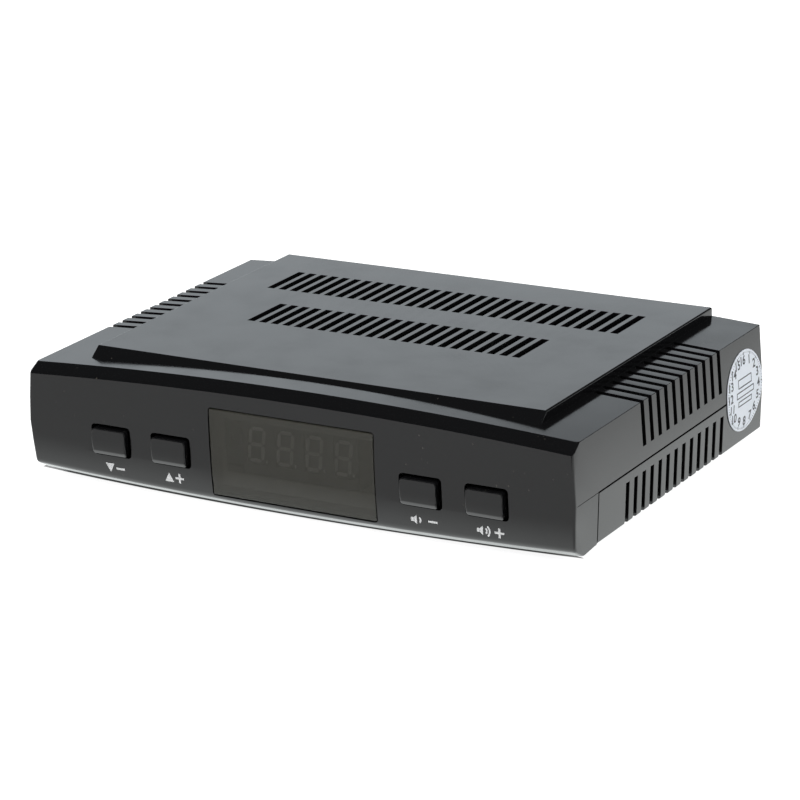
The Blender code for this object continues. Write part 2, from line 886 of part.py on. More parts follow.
def make_key_board(look):
    board = box("key_board", (-key_board_half_width, back_from_front(key_board_y), key_board_z),
                (key_board_half_width, back_from_front(key_board_y + board_thickness),
                 key_board_z + key_board_height), look)
    start = back_from_front(key_board_y - overrun)
    end = back_from_front(key_board_y + board_thickness + overrun)
    holes = [(rod(screw_hole_radius, start, end), (x, key_screw_z)) for x in (-key_screw_x, key_screw_x)]
    cut(board, turned_group("key_board_holes", holes, "Y", sides=screw_sides))


def make_display(look, dome_look):
    low_z = lip_z + display_above_lip
    front = back_from_front(display_front)
    back = back_from_front(display_front + display_depth)
    display = box("display_module", (window_shift - display_width / 2, front, low_z),
                  (window_shift + display_width / 2, back, low_z + display_height), look)
    recesses = []
    pitch = display_width / digit_count
    mid = low_z + display_height / 2
    for i in range(digit_count):
        x = window_shift + pitch * (i - (digit_count - 1) / 2)
        recesses.append(((x - digit_width / 2, front - overrun, mid - digit_height / 2),
                         (x + digit_width / 2, front + digit_recess, mid + digit_height / 2)))
    cut(display, boxes("digit_recesses", recesses))
    x = window_shift - infrared_offset
    back = back_from_front(key_board_y - seat_gap)
    front = back - infrared_depth
    eye = box("infrared_receiver", (x - infrared_width / 2, front, mid - infrared_height / 2),
              (x + infrared_width / 2, back, mid + infrared_height / 2), dome_look)
    dome = [(0, front - infrared_dome_proud)]
    steps = 4
    for i in range(1, steps + 1):
        angle = math.pi / 2 * i / steps
        dome.append((infrared_dome_radius * math.sin(angle), front - infrared_dome_proud * math.cos(angle)))
    dome += [(infrared_dome_radius, front + infrared_depth / 2), (0, front + infrared_depth / 2)]
    weld(eye, turned("infrared_dome_form", dome, (x, mid), "Y", sides=screw_sides))


def make_main_board(look):
    board = box("main_board", (-main_board_half_width, back_from_front(main_board_front), main_board_z),
                (main_board_half_width, back_from_front(main_board_back), board_top), look)
    holes = []
    for x in (-standoff_x, standoff_x):
        centre = (x, back_from_front(standoff_front_y))
        holes.append((rod(screw_hole_radius, main_board_z - overrun, board_top + overrun), centre))
    cut(board, turned_group("main_board_holes", holes, "Z", sides=screw_sides))


def make_screw(name, centre, axis, seat, direction, length, look):
    head_top = seat - direction * screw_head_height
    tip = seat + direction * length
    profile = [(0, head_top), (screw_head_radius, head_top), (screw_head_radius, seat),
               (screw_shaft_radius, seat), (screw_shaft_radius, tip), (0, tip)]
    screw = turned(name, profile, centre, axis, look, sides=screw_sides)
    reach = screw_head_radius + overrun
    depth = sorted((head_top - direction * overrun, head_top + direction * screw_slot_depth))
    half = screw_slot_width / 2
    low = oriented(centre[0] - reach, centre[1] - half, depth[0], axis)
    high = oriented(centre[0] + reach, centre[1] + half, depth[1], axis)
    cut(screw, box(name + "_slot_form", low, high))


def make_screws(look):
    seat = base_z + case_sink_depth - seat_gap
    for name, (x, y) in case_screw_places.items():
        make_screw(name + "_case_screw", (x, back_from_front(y)), "Z", seat, 1, case_screw_length, look)
    for name, x in (("left", -standoff_x), ("right", standoff_x)):
        centre = (x, back_from_front(standoff_front_y))
        make_screw(name + "_board_screw", centre, "Z", board_top + seat_gap, -1, board_screw_length, look)
    seat = back_from_front(key_board_y + board_thickness + seat_gap)
    for name, x in (("left", -key_screw_x), ("right", key_screw_x)):
        make_screw(name + "_key_screw", (x, key_screw_z), "Y", seat, -1, board_screw_length, look)


def make_feet(look):
    for name, (x, y) in foot_places.items():
        profile = [(0, 0), (foot_radius - foot_chamfer, 0), (foot_radius, foot_chamfer),
                   (foot_radius, foot_height), (0, foot_height)]
        turned(name + "_foot", profile, (x, back_from_front(y)), "Z", look)


def make_tuner(can_look, socket_look, insulator_look):
    back = back_from_front(tuner_back)
    can = box("tuner_can", (tuner_x - tuner_width / 2, back - tuner_depth, part_z),
              (tuner_x + tuner_width / 2, back, part_z + tuner_height), can_look)
    soften(can, edge_radius)
    start = back + seat_gap
    end = back_from_front(body_depth + socket_proud)
    root = socket_radius - socket_thread_depth
    profile = [(0, start), (socket_flange_radius, start), (socket_flange_radius, start + socket_flange_thickness),
               (socket_radius, start + socket_flange_thickness)]
    along = back_from_front(body_depth)
    while along + socket_thread_pitch < end:
        profile += [(socket_radius, along), (root, along + socket_thread_pitch / 2)]
        along += socket_thread_pitch
    profile += [(socket_radius, along), (root, end), (socket_bore_radius, end),
                (socket_bore_radius, end - socket_bore_depth), (0, end - socket_bore_depth)]
    turned("lnb_socket", profile, (tuner_x, socket_z), "Y", socket_look)
    start = end - socket_bore_depth + seat_gap
    end = start + insulator_length
    hole = end - contact_hole_depth
    profile = [(0, start), (socket_bore_radius - seat_gap, start), (socket_bore_radius - seat_gap, end),
               (contact_hole_radius, end), (contact_hole_radius, hole), (0, hole)]
    turned("lnb_insulator", profile, (tuner_x, socket_z), "Y", insulator_look)


def make_audio_jack(look):
    back = back_from_front(connector_back)
    front = back - audio_depth
    nose = back - audio_nose_length
    z = part_z + audio_height / 2
    jack = box("audio_jack", (audio_x - audio_width / 2, front, part_z),
               (audio_x + audio_width / 2, nose, part_z + audio_height), look)
    weld(jack, turned("audio_nose_form", rod(audio_nose_radius, nose - overrun, back), (audio_x, z), "Y"))
    cut(jack, turned("audio_bore_form", rod(audio_bore_radius, back - audio_bore_depth, back + overrun),
                     (audio_x, z), "Y"))


def hdmi_outline(inset):
    half = hdmi_width / 2 - inset
    low = part_z + inset
    top = part_z + hdmi_height - inset
    slope = hdmi_slope - inset / 2
    return [(hdmi_x - half + slope, low), (hdmi_x + half - slope, low), (hdmi_x + half, low + slope),
            (hdmi_x + half, top), (hdmi_x - half, top), (hdmi_x - half, low + slope)]


def make_tongue(name, x, width, thickness, front, back, opening_half, height, look):
    mid = part_z + height / 2
    root_tall = height / 2 - shell_wall - seat_gap
    tongue = box(name, (x - width / 2, front, mid - thickness / 2),
                 (x + width / 2, back - tongue_recess, mid + thickness / 2), look)
    weld(tongue, box(name + "_root_form", (x - opening_half, front - seat_gap, mid - root_tall),
                     (x + opening_half, front + tongue_root, mid + root_tall)))


def make_hdmi(shell_look, tongue_look):
    back = back_from_front(connector_back)
    front = back - hdmi_depth
    shell = prism("hdmi_shell", hdmi_outline(0), "Y", front, back, shell_look)
    inside = front + shell_wall
    cut(shell, prism("hdmi_bore_form", hdmi_outline(shell_wall), "Y", inside, back + overrun))
    opening_half = hdmi_width / 2 - hdmi_slope - shell_wall
    make_tongue("hdmi_tongue", hdmi_x, hdmi_tongue_width, hdmi_tongue_thickness, inside + 2 * seat_gap, back,
                opening_half, hdmi_height, tongue_look)


def make_usb(shell_look, tongue_look):
    back = back_from_front(connector_back)
    front = back - usb_depth
    half = usb_width / 2
    shell = box("usb_shell", (usb_x - half, front, part_z), (usb_x + half, back, part_z + usb_height), shell_look)
    inside = front + shell_wall
    cut(shell, box("usb_bore_form", (usb_x - half + shell_wall, inside, part_z + shell_wall),
                   (usb_x + half - shell_wall, back + overrun, part_z + usb_height - shell_wall)))
    opening_half = half - shell_wall - seat_gap
    make_tongue("usb_tongue", usb_x, usb_tongue_width, usb_tongue_thickness, inside + 2 * seat_gap, back,
                opening_half, usb_height, tongue_look)


def make_power_jack(look, pin_look):
    back = back_from_front(connector_back)
    z = part_z + power_height / 2
    jack = box("power_jack", (power_x - power_width / 2, back - power_depth, part_z),
               (power_x + power_width / 2, back, part_z + power_height), look)
    cut(jack, turned("power_bore_form", rod(power_bore_radius, back - power_bore_depth, back + overrun),
                     (power_x, z), "Y"))
    start = back - power_bore_depth + seat_gap
    turned("power_pin", rod(power_pin_radius, start, start + power_pin_length), (power_x, z), "Y", pin_look,
           sides=screw_sides)


def board_place(shares):
    x = shares[0] * main_board_half_width
    return x, back_from_front(main_board_front + shares[1] * main_board_depth)


def chip(name, shares, width, depth, height, look):
    x, y = board_place(shares)
    return box(name, (x - width / 2, y - depth / 2, part_z), (x + width / 2, y + depth / 2, part_z + height), look)


def make_heat_sink(look):
    low = part_z + processor_height + seat_gap
    root = low + sink_base
    top = root + sink_fin_height
    x, y = board_place(processor_place_shares)
    left = x - sink_size / 2
    pitch = (sink_size - sink_fin_thickness) / (sink_fin_count - 1)
    outline = [(left + sink_size, low), (left, low)]
    for i in range(sink_fin_count):
        x = left + pitch * i
        if i:
            outline.append((x, root))
        outline += [(x, top), (x + sink_fin_thickness, top)]
        if i < sink_fin_count - 1:
            outline.append((x + sink_fin_thickness, root))
    prism("heat_sink", outline, "Y", y - sink_size / 2, y + sink_size / 2, look)


def make_capacitor(name, place, radius, height, look):
    groove = part_z + 2 * capacitor_groove
    profile = [(0, part_z), (radius, part_z), (radius, groove), (radius - capacitor_groove, groove + capacitor_groove),
               (radius, groove + 2 * capacitor_groove), (radius, part_z + height), (0, part_z + height)]
    turned(name, profile, place, "Z", look, sides=capacitor_sides)


def make_board_parts(chip_look, metal_look, capacitor_look, ferrite_look, link_look):
    chip("main_processor", processor_place_shares, processor_size, processor_size, processor_height, chip_look)
    make_heat_sink(metal_look)
    chip("memory_chip", memory_place_shares, memory_width, memory_depth, chip_height, chip_look)
    chip("flash_chip", flash_place_shares, flash_width, flash_depth, chip_height, chip_look)
    make_capacitor("input_capacitor", board_place(input_capacitor_place_shares), input_capacitor_radius,
                   input_capacitor_height, capacitor_look)
    make_capacitor("output_capacitor", board_place(output_capacitor_place_shares), output_capacitor_radius,
                   output_capacitor_height, capacitor_look)
    x = tuner_x + tuner_width / 2 + aerial_capacitor_gap + aerial_capacitor_radius
    y = back_from_front(main_board_front + aerial_capacitor_depth_share * main_board_depth)
    make_capacitor("aerial_capacitor", (x, y), aerial_capacitor_radius, aerial_capacitor_height, capacitor_look)
    coil = chip("power_inductor", inductor_place_shares, inductor_size, inductor_size, inductor_height / 2,
                ferrite_look)
    core = rod(inductor_core_radius, part_z + inductor_height / 4, part_z + inductor_height)
    weld(coil, turned("inductor_core_form", core, board_place(inductor_place_shares), "Z"))
    can = chip("clock_crystal", crystal_place_shares, crystal_length, crystal_width, crystal_height, metal_look)
    soften(can, edge_radius)
    front = back_from_front(key_board_y + board_thickness + seat_gap)
    box("board_link", (window_shift - link_width / 2, front, part_z),
        (window_shift + link_width / 2, front + link_depth, part_z + link_height), link_look)


def make_label(look):
    middle = parting_z + label_above_parting
    fold = math.asin(label_above_parting / label_radius)
    sweep = math.pi + 2 * fold
    upper = [-fold + sweep * i / label_arc_steps for i in range(label_arc_steps + 1)]
    rest = 2 * math.pi - sweep
    lower = [-fold + sweep + rest * i / label_arc_steps for i in range(1, label_arc_steps)]
    corners = []
    for lift in (seat_gap, seat_gap + label_thickness):
        for angle in upper + lower:
            z = middle + label_radius * math.sin(angle)
            y = back_from_front(label_y) + label_radius * math.cos(angle)
            corners.append((half_width_at(z) + lift, y, z))
    count = len(upper) + len(lower)
    seam = len(upper) - 1
    faces = []
    for first in (0, count):
        faces.append(tuple(first + i for i in range(seam + 1)))
        faces.append(tuple(first + i for i in [*range(seam, count), 0]))
    for i in range(count):
        j = (i + 1) % count
        faces.append((i, j, count + j, count + i))
    new_solid("round_label", corners, faces, look)


def build():
    clear_scene()
    black_plastic = finish("black_gloss_plastic", (0.012, 0.012, 0.013), 0.22)
    smoked = finish("smoked_acrylic", (0.03, 0.03, 0.026), 0.08)
    rubber = finish("black_rubber", (0.02, 0.02, 0.02), 0.8)
    steel = finish("zinc_plated_steel", (0.55, 0.56, 0.58), 0.35, 1.0)
    nickel = finish("nickel_plate", (0.62, 0.6, 0.56), 0.25, 1.0)
    board = finish("green_circuit_board", (0.02, 0.12, 0.05), 0.45)
    moulded_black = finish("moulded_connector_black", (0.015, 0.015, 0.016), 0.5)
    white_plastic = finish("white_insulator", (0.75, 0.75, 0.72), 0.4)
    display_black = finish("display_epoxy", (0.04, 0.04, 0.045), 0.4)
    chip_black = finish("chip_epoxy", (0.02, 0.02, 0.022), 0.55)
    aluminium = finish("anodised_aluminium", (0.6, 0.61, 0.62), 0.4, 1.0)
    sleeve = finish("capacitor_sleeve", (0.03, 0.035, 0.07), 0.4)
    ferrite = finish("ferrite", (0.06, 0.06, 0.065), 0.6)
    paper = finish("coated_paper", (0.78, 0.8, 0.9), 0.5)
    make_top_cover(black_plastic)
    make_base_tray(black_plastic)
    make_rear_panel(black_plastic)
    make_display_window(smoked)
    for name, x in button_places.items():
        make_button(name, x, black_plastic)
        make_switch(name, x, moulded_black, chip_black)
    make_key_board(board)
    make_display(display_black, display_black)
    make_main_board(board)
    make_screws(steel)
    make_feet(rubber)
    make_tuner(steel, nickel, white_plastic)
    make_audio_jack(moulded_black)
    make_hdmi(nickel, moulded_black)
    make_usb(nickel, white_plastic)
    make_power_jack(moulded_black, nickel)
    make_board_parts(chip_black, aluminium, sleeve, ferrite, white_plastic)
    make_label(paper)


build()
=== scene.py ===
import json
import math

import bmesh
import bpy
from mathutils import Matrix, Vector
from mathutils.bvhtree import BVHTree

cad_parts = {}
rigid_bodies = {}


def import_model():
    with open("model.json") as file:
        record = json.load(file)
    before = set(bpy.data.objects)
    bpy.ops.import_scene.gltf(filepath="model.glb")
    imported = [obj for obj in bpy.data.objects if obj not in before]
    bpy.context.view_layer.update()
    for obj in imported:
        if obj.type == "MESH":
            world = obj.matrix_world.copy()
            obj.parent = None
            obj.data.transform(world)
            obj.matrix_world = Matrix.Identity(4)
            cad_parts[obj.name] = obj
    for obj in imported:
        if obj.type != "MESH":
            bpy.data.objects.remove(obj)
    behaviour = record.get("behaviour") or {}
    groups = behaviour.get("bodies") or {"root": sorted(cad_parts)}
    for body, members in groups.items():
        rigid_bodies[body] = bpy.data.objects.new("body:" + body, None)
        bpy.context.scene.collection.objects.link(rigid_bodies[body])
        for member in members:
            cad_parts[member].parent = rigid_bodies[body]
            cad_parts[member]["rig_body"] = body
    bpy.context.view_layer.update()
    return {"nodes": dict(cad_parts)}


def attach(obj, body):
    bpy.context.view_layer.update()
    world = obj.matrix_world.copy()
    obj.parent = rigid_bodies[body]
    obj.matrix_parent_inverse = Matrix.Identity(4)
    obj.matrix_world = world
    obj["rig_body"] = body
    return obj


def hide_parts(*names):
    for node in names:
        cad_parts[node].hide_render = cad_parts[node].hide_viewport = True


mm = 0.001
away = 1.0  # a ray cast at the part starts this far out, in metres
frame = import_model()
print("frame loaded:", len(frame["nodes"]), "nodes")


# Helpers

def srgb(code):
    # a hex colour as the eye reads it, turned to the linear values that a shader wants
    channels = [int(code[i:i + 2], 16) / 255 for i in (1, 3, 5)]
    return tuple(c / 12.92 if c <= 0.04045 else ((c + 0.055) / 1.055) ** 2.4 for c in channels) + (1.0,)


def addNode(tree, kind, settings, links):
    node = tree.nodes.new("ShaderNode" + kind)
    for name, value in settings.items():
        if isinstance(name, int) or name in node.inputs:
            node.inputs[name].default_value = value
        else:
            setattr(node, name, value)
    for name, output in links.items():
        tree.links.new(output, node.inputs[name])
    return node


def newMaterial(name):
    made = bpy.data.materials.new(name)
    made.use_nodes = True
    made.node_tree.nodes.clear()
    return made, made.node_tree


def objectPlace(tree, size):
    # object coordinates divided by a real length, so that a pattern repeats once in that length
    place = addNode(tree, "TexCoord", {}, {}).outputs["Object"]
    return addNode(tree, "Mapping", {"Scale": (1 / size,) * 3}, {"Vector": place}).outputs[0]


# Materials, each named for the real one and how its surface was made

def mouldedPlastic(name, settings):
    # injection-moulded styrene from a polished tool: the eye sees sharp grazing reflections over black,
    # softly pulled about by the moulding's sink marks, with faint handling haze and a little dust
    made, tree = newMaterial(name)
    sink = addNode(tree, "TexNoise", {"Scale": 1.0, "Detail": 1.0},
                   {"Vector": objectPlace(tree, settings["sinkWidth"])})
    grain = addNode(tree, "TexNoise", {"Scale": 1.0, "Detail": 3.0},
                    {"Vector": objectPlace(tree, settings["grainWidth"])})
    haze = addNode(tree, "TexNoise", {"Scale": 1.0, "Detail": 4.0, "Roughness": 0.6},
                   {"Vector": objectPlace(tree, settings["hazeWidth"])})
    dust = addNode(tree, "TexVoronoi", {"Scale": 1.0},
                   {"Vector": objectPlace(tree, settings["dustSpacing"])})
    rough = addNode(tree, "MapRange", {
        "From Min": settings["hazeRange"][0], "From Max": settings["hazeRange"][1],
        "To Min": settings["roughness"], "To Max": settings["hazeRoughness"]}, {"Value": haze.outputs[0]})
    speck = addNode(tree, "MapRange", {
        "From Min": settings["dustSize"][0], "From Max": settings["dustSize"][1],
        "To Min": 1.0, "To Max": 0.0}, {"Value": dust.outputs["Distance"]})
    patchy = addNode(tree, "MapRange", {
        "From Min": settings["dustPatch"][0], "From Max": settings["dustPatch"][1]},
        {"Value": haze.outputs[0]})
    dusty = addNode(tree, "Math", {"operation": "MULTIPLY"}, {0: speck.outputs[0], 1: patchy.outputs[0]})
    colour = addNode(tree, "Mix", {
        "data_type": "RGBA", 6: srgb(settings["colour"]), 7: srgb(settings["dust"])},
        {0: dusty.outputs[0]})
    low = addNode(tree, "Bump", {"Strength": 1.0, "Distance": settings["sinkDepth"]},
                  {"Height": sink.outputs[0]})
    high = addNode(tree, "Bump", {"Strength": 1.0, "Distance": settings["grainDepth"]},
                   {"Height": grain.outputs[0], "Normal": low.outputs[0]})
    shader = addNode(tree, "BsdfPrincipled", {"IOR": settings["ior"]}, {
        "Base Color": colour.outputs[2], "Roughness": rough.outputs[0], "Normal": high.outputs[0]})
    addNode(tree, "OutputMaterial", {}, {"Surface": shader.outputs[0]})
    return made


# the ranges are of the noise patterns' own values, the dust's size of its spacing
styrene = {"colour": "#0e0e0f", "dust": "#5c5850", "ior": 1.59, "roughness": 0.1, "hazeRoughness": 0.17,
           "sinkWidth": 16 * mm, "sinkDepth": 0.004 * mm, "grainWidth": 0.5 * mm,
           "grainDepth": 0.0004 * mm, "hazeWidth": 11 * mm, "hazeRange": (0.35, 0.7),
           "dustSpacing": 2.2 * mm, "dustSize": (0.045, 0.09), "dustPatch": (0.52, 0.66)}
blackStyrene = mouldedPlastic("polished moulded black styrene", styrene)
capStyrene = mouldedPlastic("polished moulded black styrene button",
                            {**styrene, "sinkWidth": 3.5 * mm, "sinkDepth": 0.02 * mm})


def plainFinish(name, settings):
    # shared by the hidden and small pieces: a colour and a roughness that drift, and a fine relief
    made, tree = newMaterial(name)
    drift = addNode(tree, "TexNoise", {"Scale": 1.0, "Detail": 4.0},
                    {"Vector": objectPlace(tree, settings["driftWidth"])})
    relief = addNode(tree, "TexNoise", {"Scale": 1.0, "Detail": 5.0},
                     {"Vector": objectPlace(tree, settings["reliefWidth"])})
    colour = addNode(tree, "Mix", {
        "data_type": "RGBA", 6: srgb(settings["colour"]), 7: srgb(settings["worn"])},
        {0: drift.outputs[0]})
    rough = addNode(tree, "MapRange", {
        "To Min": settings["roughness"][0], "To Max": settings["roughness"][1]},
        {"Value": drift.outputs[0]})
    bump = addNode(tree, "Bump", {"Strength": 1.0, "Distance": settings["reliefDepth"]},
                   {"Height": relief.outputs[0]})
    values = {"Metallic": settings.get("metallic", 0.0)}
    if "ior" in settings:
        values["IOR"] = settings["ior"]
    shader = addNode(tree, "BsdfPrincipled", values, {
        "Base Color": colour.outputs[2], "Roughness": rough.outputs[0], "Normal": bump.outputs[0]})
    addNode(tree, "OutputMaterial", {}, {"Surface": shader.outputs[0]})
    return made


rubber = plainFinish("moulded nitrile rubber", {
    "colour": "#1c1c1d", "worn": "#29292a", "roughness": (0.7, 0.85), "ior": 1.52,
    "driftWidth": 2 * mm, "reliefWidth": 0.3 * mm, "reliefDepth": 0.02 * mm})
zincSteel = plainFinish("zinc-plated steel", {
    "colour": "#b4b7bb", "worn": "#a09f9c", "roughness": (0.25, 0.4), "metallic": 1.0,
    "driftWidth": 1.5 * mm, "reliefWidth": 0.4 * mm, "reliefDepth": 0.004 * mm})
nickelPlate = plainFinish("bright nickel plate", {
    "colour": "#c9c3b8", "worn": "#b8b0a2", "roughness": (0.14, 0.28), "metallic": 1.0,
    "driftWidth": 3 * mm, "reliefWidth": 0.6 * mm, "reliefDepth": 0.002 * mm})
goldPlate = plainFinish("gold-plated phosphor bronze", {
    "colour": "#e0bb6a", "worn": "#cda65a", "roughness": (0.18, 0.3), "metallic": 1.0,
    "driftWidth": 1 * mm, "reliefWidth": 0.3 * mm, "reliefDepth": 0.002 * mm})
connectorNylon = plainFinish("moulded glass-filled nylon", {
    "colour": "#171718", "worn": "#232324", "roughness": (0.45, 0.6), "ior": 1.53,
    "driftWidth": 2 * mm, "reliefWidth": 0.25 * mm, "reliefDepth": 0.01 * mm})
whiteNylon = plainFinish("moulded white nylon", {
    "colour": "#dcdad2", "worn": "#cfccc1", "roughness": (0.35, 0.5), "ior": 1.53,
    "driftWidth": 3 * mm, "reliefWidth": 0.4 * mm, "reliefDepth": 0.006 * mm})
solderMask = plainFinish("solder-masked glass epoxy board", {
    "colour": "#0f4a27", "worn": "#176035", "roughness": (0.3, 0.45), "ior": 1.55,
    "driftWidth": 1.2 * mm, "reliefWidth": 0.8 * mm, "reliefDepth": 0.02 * mm})
chipEpoxy = plainFinish("transfer-moulded chip epoxy", {
    "colour": "#222324", "worn": "#2c2d2e", "roughness": (0.5, 0.65), "ior": 1.55,
    "driftWidth": 1.5 * mm, "reliefWidth": 0.15 * mm, "reliefDepth": 0.008 * mm})
aluminium = plainFinish("anodised extruded aluminium", {
    "colour": "#c3c5c8", "worn": "#b1b3b6", "roughness": (0.35, 0.45), "metallic": 1.0,
    "driftWidth": 4 * mm, "reliefWidth": 0.2 * mm, "reliefDepth": 0.003 * mm})
sleevePvc = plainFinish("shrunk capacitor sleeve", {
    "colour": "#1d2442", "worn": "#262e50", "roughness": (0.3, 0.4), "ior": 1.54,
    "driftWidth": 3 * mm, "reliefWidth": 1.0 * mm, "reliefDepth": 0.01 * mm})
ferrite = plainFinish("sintered ferrite", {
    "colour": "#3a3b3d", "worn": "#464749", "roughness": (0.55, 0.7), "ior": 2.0,
    "driftWidth": 1 * mm, "reliefWidth": 0.2 * mm, "reliefDepth": 0.012 * mm})
displayEpoxy = plainFinish("display module epoxy", {
    "colour": "#2f302e", "worn": "#373834", "roughness": (0.4, 0.5), "ior": 1.55,
    "driftWidth": 4 * mm, "reliefWidth": 0.3 * mm, "reliefDepth": 0.0005 * mm})
# painted shade: near black and matte, this strip stands in for the shade inside the seam's gap
paintedSeamShade = plainFinish("seam shade painted on moulded styrene", {
    "colour": "#0b0b0c", "worn": "#121213", "roughness": (0.6, 0.75), "ior": 1.3,
    "driftWidth": 2 * mm, "reliefWidth": 0.2 * mm, "reliefDepth": 0.004 * mm})
whiteInk = plainFinish("screen-printed white ink", {
    "colour": "#fbfcfc", "worn": "#f2f3f4", "roughness": (0.45, 0.6), "ior": 1.5,
    "driftWidth": 1 * mm, "reliefWidth": 0.12 * mm, "reliefDepth": 0.003 * mm})
labelPaper = plainFinish("coated paper label", {
    "colour": "#eff4fb", "worn": "#e9eff7", "roughness": (0.35, 0.5), "ior": 1.5,
    "driftWidth": 5 * mm, "reliefWidth": 0.2 * mm, "reliefDepth": 0.003 * mm})
labelInk = plainFinish("printed blue-black ink", {
    "colour": "#1b1e25", "worn": "#272a33", "roughness": (0.4, 0.5), "ior": 1.5,
    "driftWidth": 1 * mm, "reliefWidth": 0.2 * mm, "reliefDepth": 0.002 * mm})


def smokedAcrylic():
    # cast acrylic sheet, dyed olive grey: a hard gloss, and the display behind it only just shows through
    acrylic = {"colour": "#3b3a33", "clear": 0.15, "ior": 1.49, "roughness": 0.05, "waveWidth": 12 * mm,
               "waveDepth": 0.002 * mm}
    made, tree = newMaterial("dyed cast acrylic")
    wave = addNode(tree, "TexNoise", {"Scale": 1.0, "Detail": 1.0},
                   {"Vector": objectPlace(tree, acrylic["waveWidth"])})
    bump = addNode(tree, "Bump", {"Strength": 1.0, "Distance": acrylic["waveDepth"]},
                   {"Height": wave.outputs[0]})
    back = addNode(tree, "NewGeometry", {}, {}).outputs["Backfacing"]
    alpha = addNode(tree, "MapRange", {"To Min": 1 - acrylic["clear"], "To Max": 0.0}, {"Value": back})
    shader = addNode(tree, "BsdfPrincipled", {
        "Base Color": srgb(acrylic["colour"]), "Roughness": acrylic["roughness"], "IOR": acrylic["ior"]},
        {"Normal": bump.outputs[0], "Alpha": alpha.outputs[0]})
    addNode(tree, "OutputMaterial", {}, {"Surface": shader.outputs[0]})
    return made


windowAcrylic = smokedAcrylic()
ghostEpoxy = plainFinish("unlit display segment", {
    "colour": "#d0d0c8", "worn": "#c6c6bd", "roughness": (0.4, 0.5), "ior": 1.55,
    "driftWidth": 2 * mm, "reliefWidth": 0.3 * mm, "reliefDepth": 0.002 * mm})
print("materials made")


# The housing and other nodes that show, as cleaned copies with fine rounded edges

cleaning = {"weld": 0.001 * mm, "flatTurn": 0.25, "mostCorners": 4, "edgeTurn": 28, "capTurn": 20,
            "edgeSegments": 2, "flatWeight": 100}


def dressNode(node, material, edge, turn=cleaning["edgeTurn"]):
    source = frame["nodes"][node]
    shape = bmesh.new()
    shape.from_mesh(source.data)
    bmesh.ops.remove_doubles(shape, verts=shape.verts, dist=cleaning["weld"])
    bmesh.ops.dissolve_limit(shape, angle_limit=math.radians(cleaning["flatTurn"]), verts=shape.verts,
                             edges=shape.edges)
    many = [face for face in shape.faces if len(face.verts) > cleaning["mostCorners"]]
    bmesh.ops.triangulate(shape, faces=many)
    mesh = bpy.data.meshes.new(node + "_finished")
    shape.to_mesh(mesh)
    shape.free()
    mesh.materials.append(material)
    mesh.shade_smooth()
    piece = bpy.data.objects.new(node + "_finished", mesh)
    bpy.context.scene.collection.objects.link(piece)
    if edge:
        bevel = piece.modifiers.new("worn edges", "BEVEL")
        bevel.width = edge
        bevel.segments = cleaning["edgeSegments"]
        bevel.limit_method = "ANGLE"
        bevel.angle_limit = math.radians(turn)
        bevel.use_clamp_overlap = False
        bevel.harden_normals = False
    normals = piece.modifiers.new("flat faces", "WEIGHTED_NORMAL")
    normals.weight = cleaning["flatWeight"]
    normals.keep_sharp = False
    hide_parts(node)
    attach(piece, source["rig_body"])
    return piece


def rollFace(piece):
    # the lower half of a cap's face rolls back gently, so that it mirrors more and more of the bright
    # floor, and its lower edge drops a little over the gap below it
    roll = {"cuts": 6, "depth": 0.3 * mm, "power": 1.3, "drop": 0.3 * mm, "reach": 1.2 * mm,
            "skin": 0.5 * mm}
    shape = bmesh.new()
    shape.from_mesh(piece.data)
    front = min(corner.co.y for corner in shape.verts)
    heights = [corner.co.z for corner in shape.verts if corner.co.y < front + roll["skin"]]
    low = min(heights)
    middle = (low + max(heights)) / 2
    for i in range(roll["cuts"]):
        height = middle + (low - middle) * i / roll["cuts"]
        bmesh.ops.bisect_plane(shape, geom=[*shape.verts, *shape.edges, *shape.faces],
                               plane_co=(0, 0, height), plane_no=(0, 0, 1))
    for corner in shape.verts:
        if corner.co.y < front + roll["reach"] and corner.co.z < middle:
            share = (middle - corner.co.z) / (middle - low)
            corner.co.y += roll["depth"] * share ** roll["power"]
            corner.co.z -= roll["drop"] * share
    shape.to_mesh(piece.data)
    shape.free()
    piece.data.shade_smooth()


edges = {"cover": 0.05 * mm, "base": 0.16 * mm, "panel": 0.12 * mm, "button": 0.12 * mm,
         "foot": 0.15 * mm, "screw": 0.1 * mm, "shell": 0.08 * mm, "connector": 0.12 * mm,
         "label": 0.05 * mm}
dressNode("top_cover", blackStyrene, edges["cover"])
dressNode("base_tray", blackStyrene, edges["base"])
dressNode("rear_panel", blackStyrene, edges["panel"])
for place in ("channel_down", "channel_up", "volume_down", "volume_up"):
    rollFace(dressNode(place + "_button", capStyrene, edges["button"], cleaning["capTurn"]))
for corner in ("front_left", "front_right", "back_left", "back_right"):
    dressNode(corner + "_foot", rubber, edges["foot"])
    dressNode(corner + "_case_screw", zincSteel, edges["screw"])
for node in ("lnb_socket", "hdmi_shell", "usb_shell", "power_pin"):
    dressNode(node, nickelPlate, edges["shell"])
for node in ("audio_jack", "power_jack", "hdmi_tongue"):
    dressNode(node, connectorNylon, edges["connector"])
for node in ("lnb_insulator", "usb_tongue"):
    dressNode(node, whiteNylon, edges["connector"])
print("outer pieces dressed")


# Shared tools for the pieces that only the visual has

def surfaceOf(node):
    source = frame["nodes"][node]
    corners = [source.matrix_world @ v.co for v in source.data.vertices]
    return BVHTree.FromPolygons(corners, [tuple(face.vertices) for face in source.data.polygons])


def newPiece(name, corners, faces, material, body="root"):
    mesh = bpy.data.meshes.new(name)
    mesh.from_pydata(corners, [], faces)
    mesh.materials.append(material)
    piece = bpy.data.objects.new(name, mesh)
    bpy.context.scene.collection.objects.link(piece)
    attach(piece, body)
    return piece


def boxOf(node):
    source = frame["nodes"][node]
    corners = [source.matrix_world @ v.co for v in source.data.vertices]
    low = Vector([min(c[i] for c in corners) for i in range(3)])
    high = Vector([max(c[i] for c in corners) for i in range(3)])
    return low, high


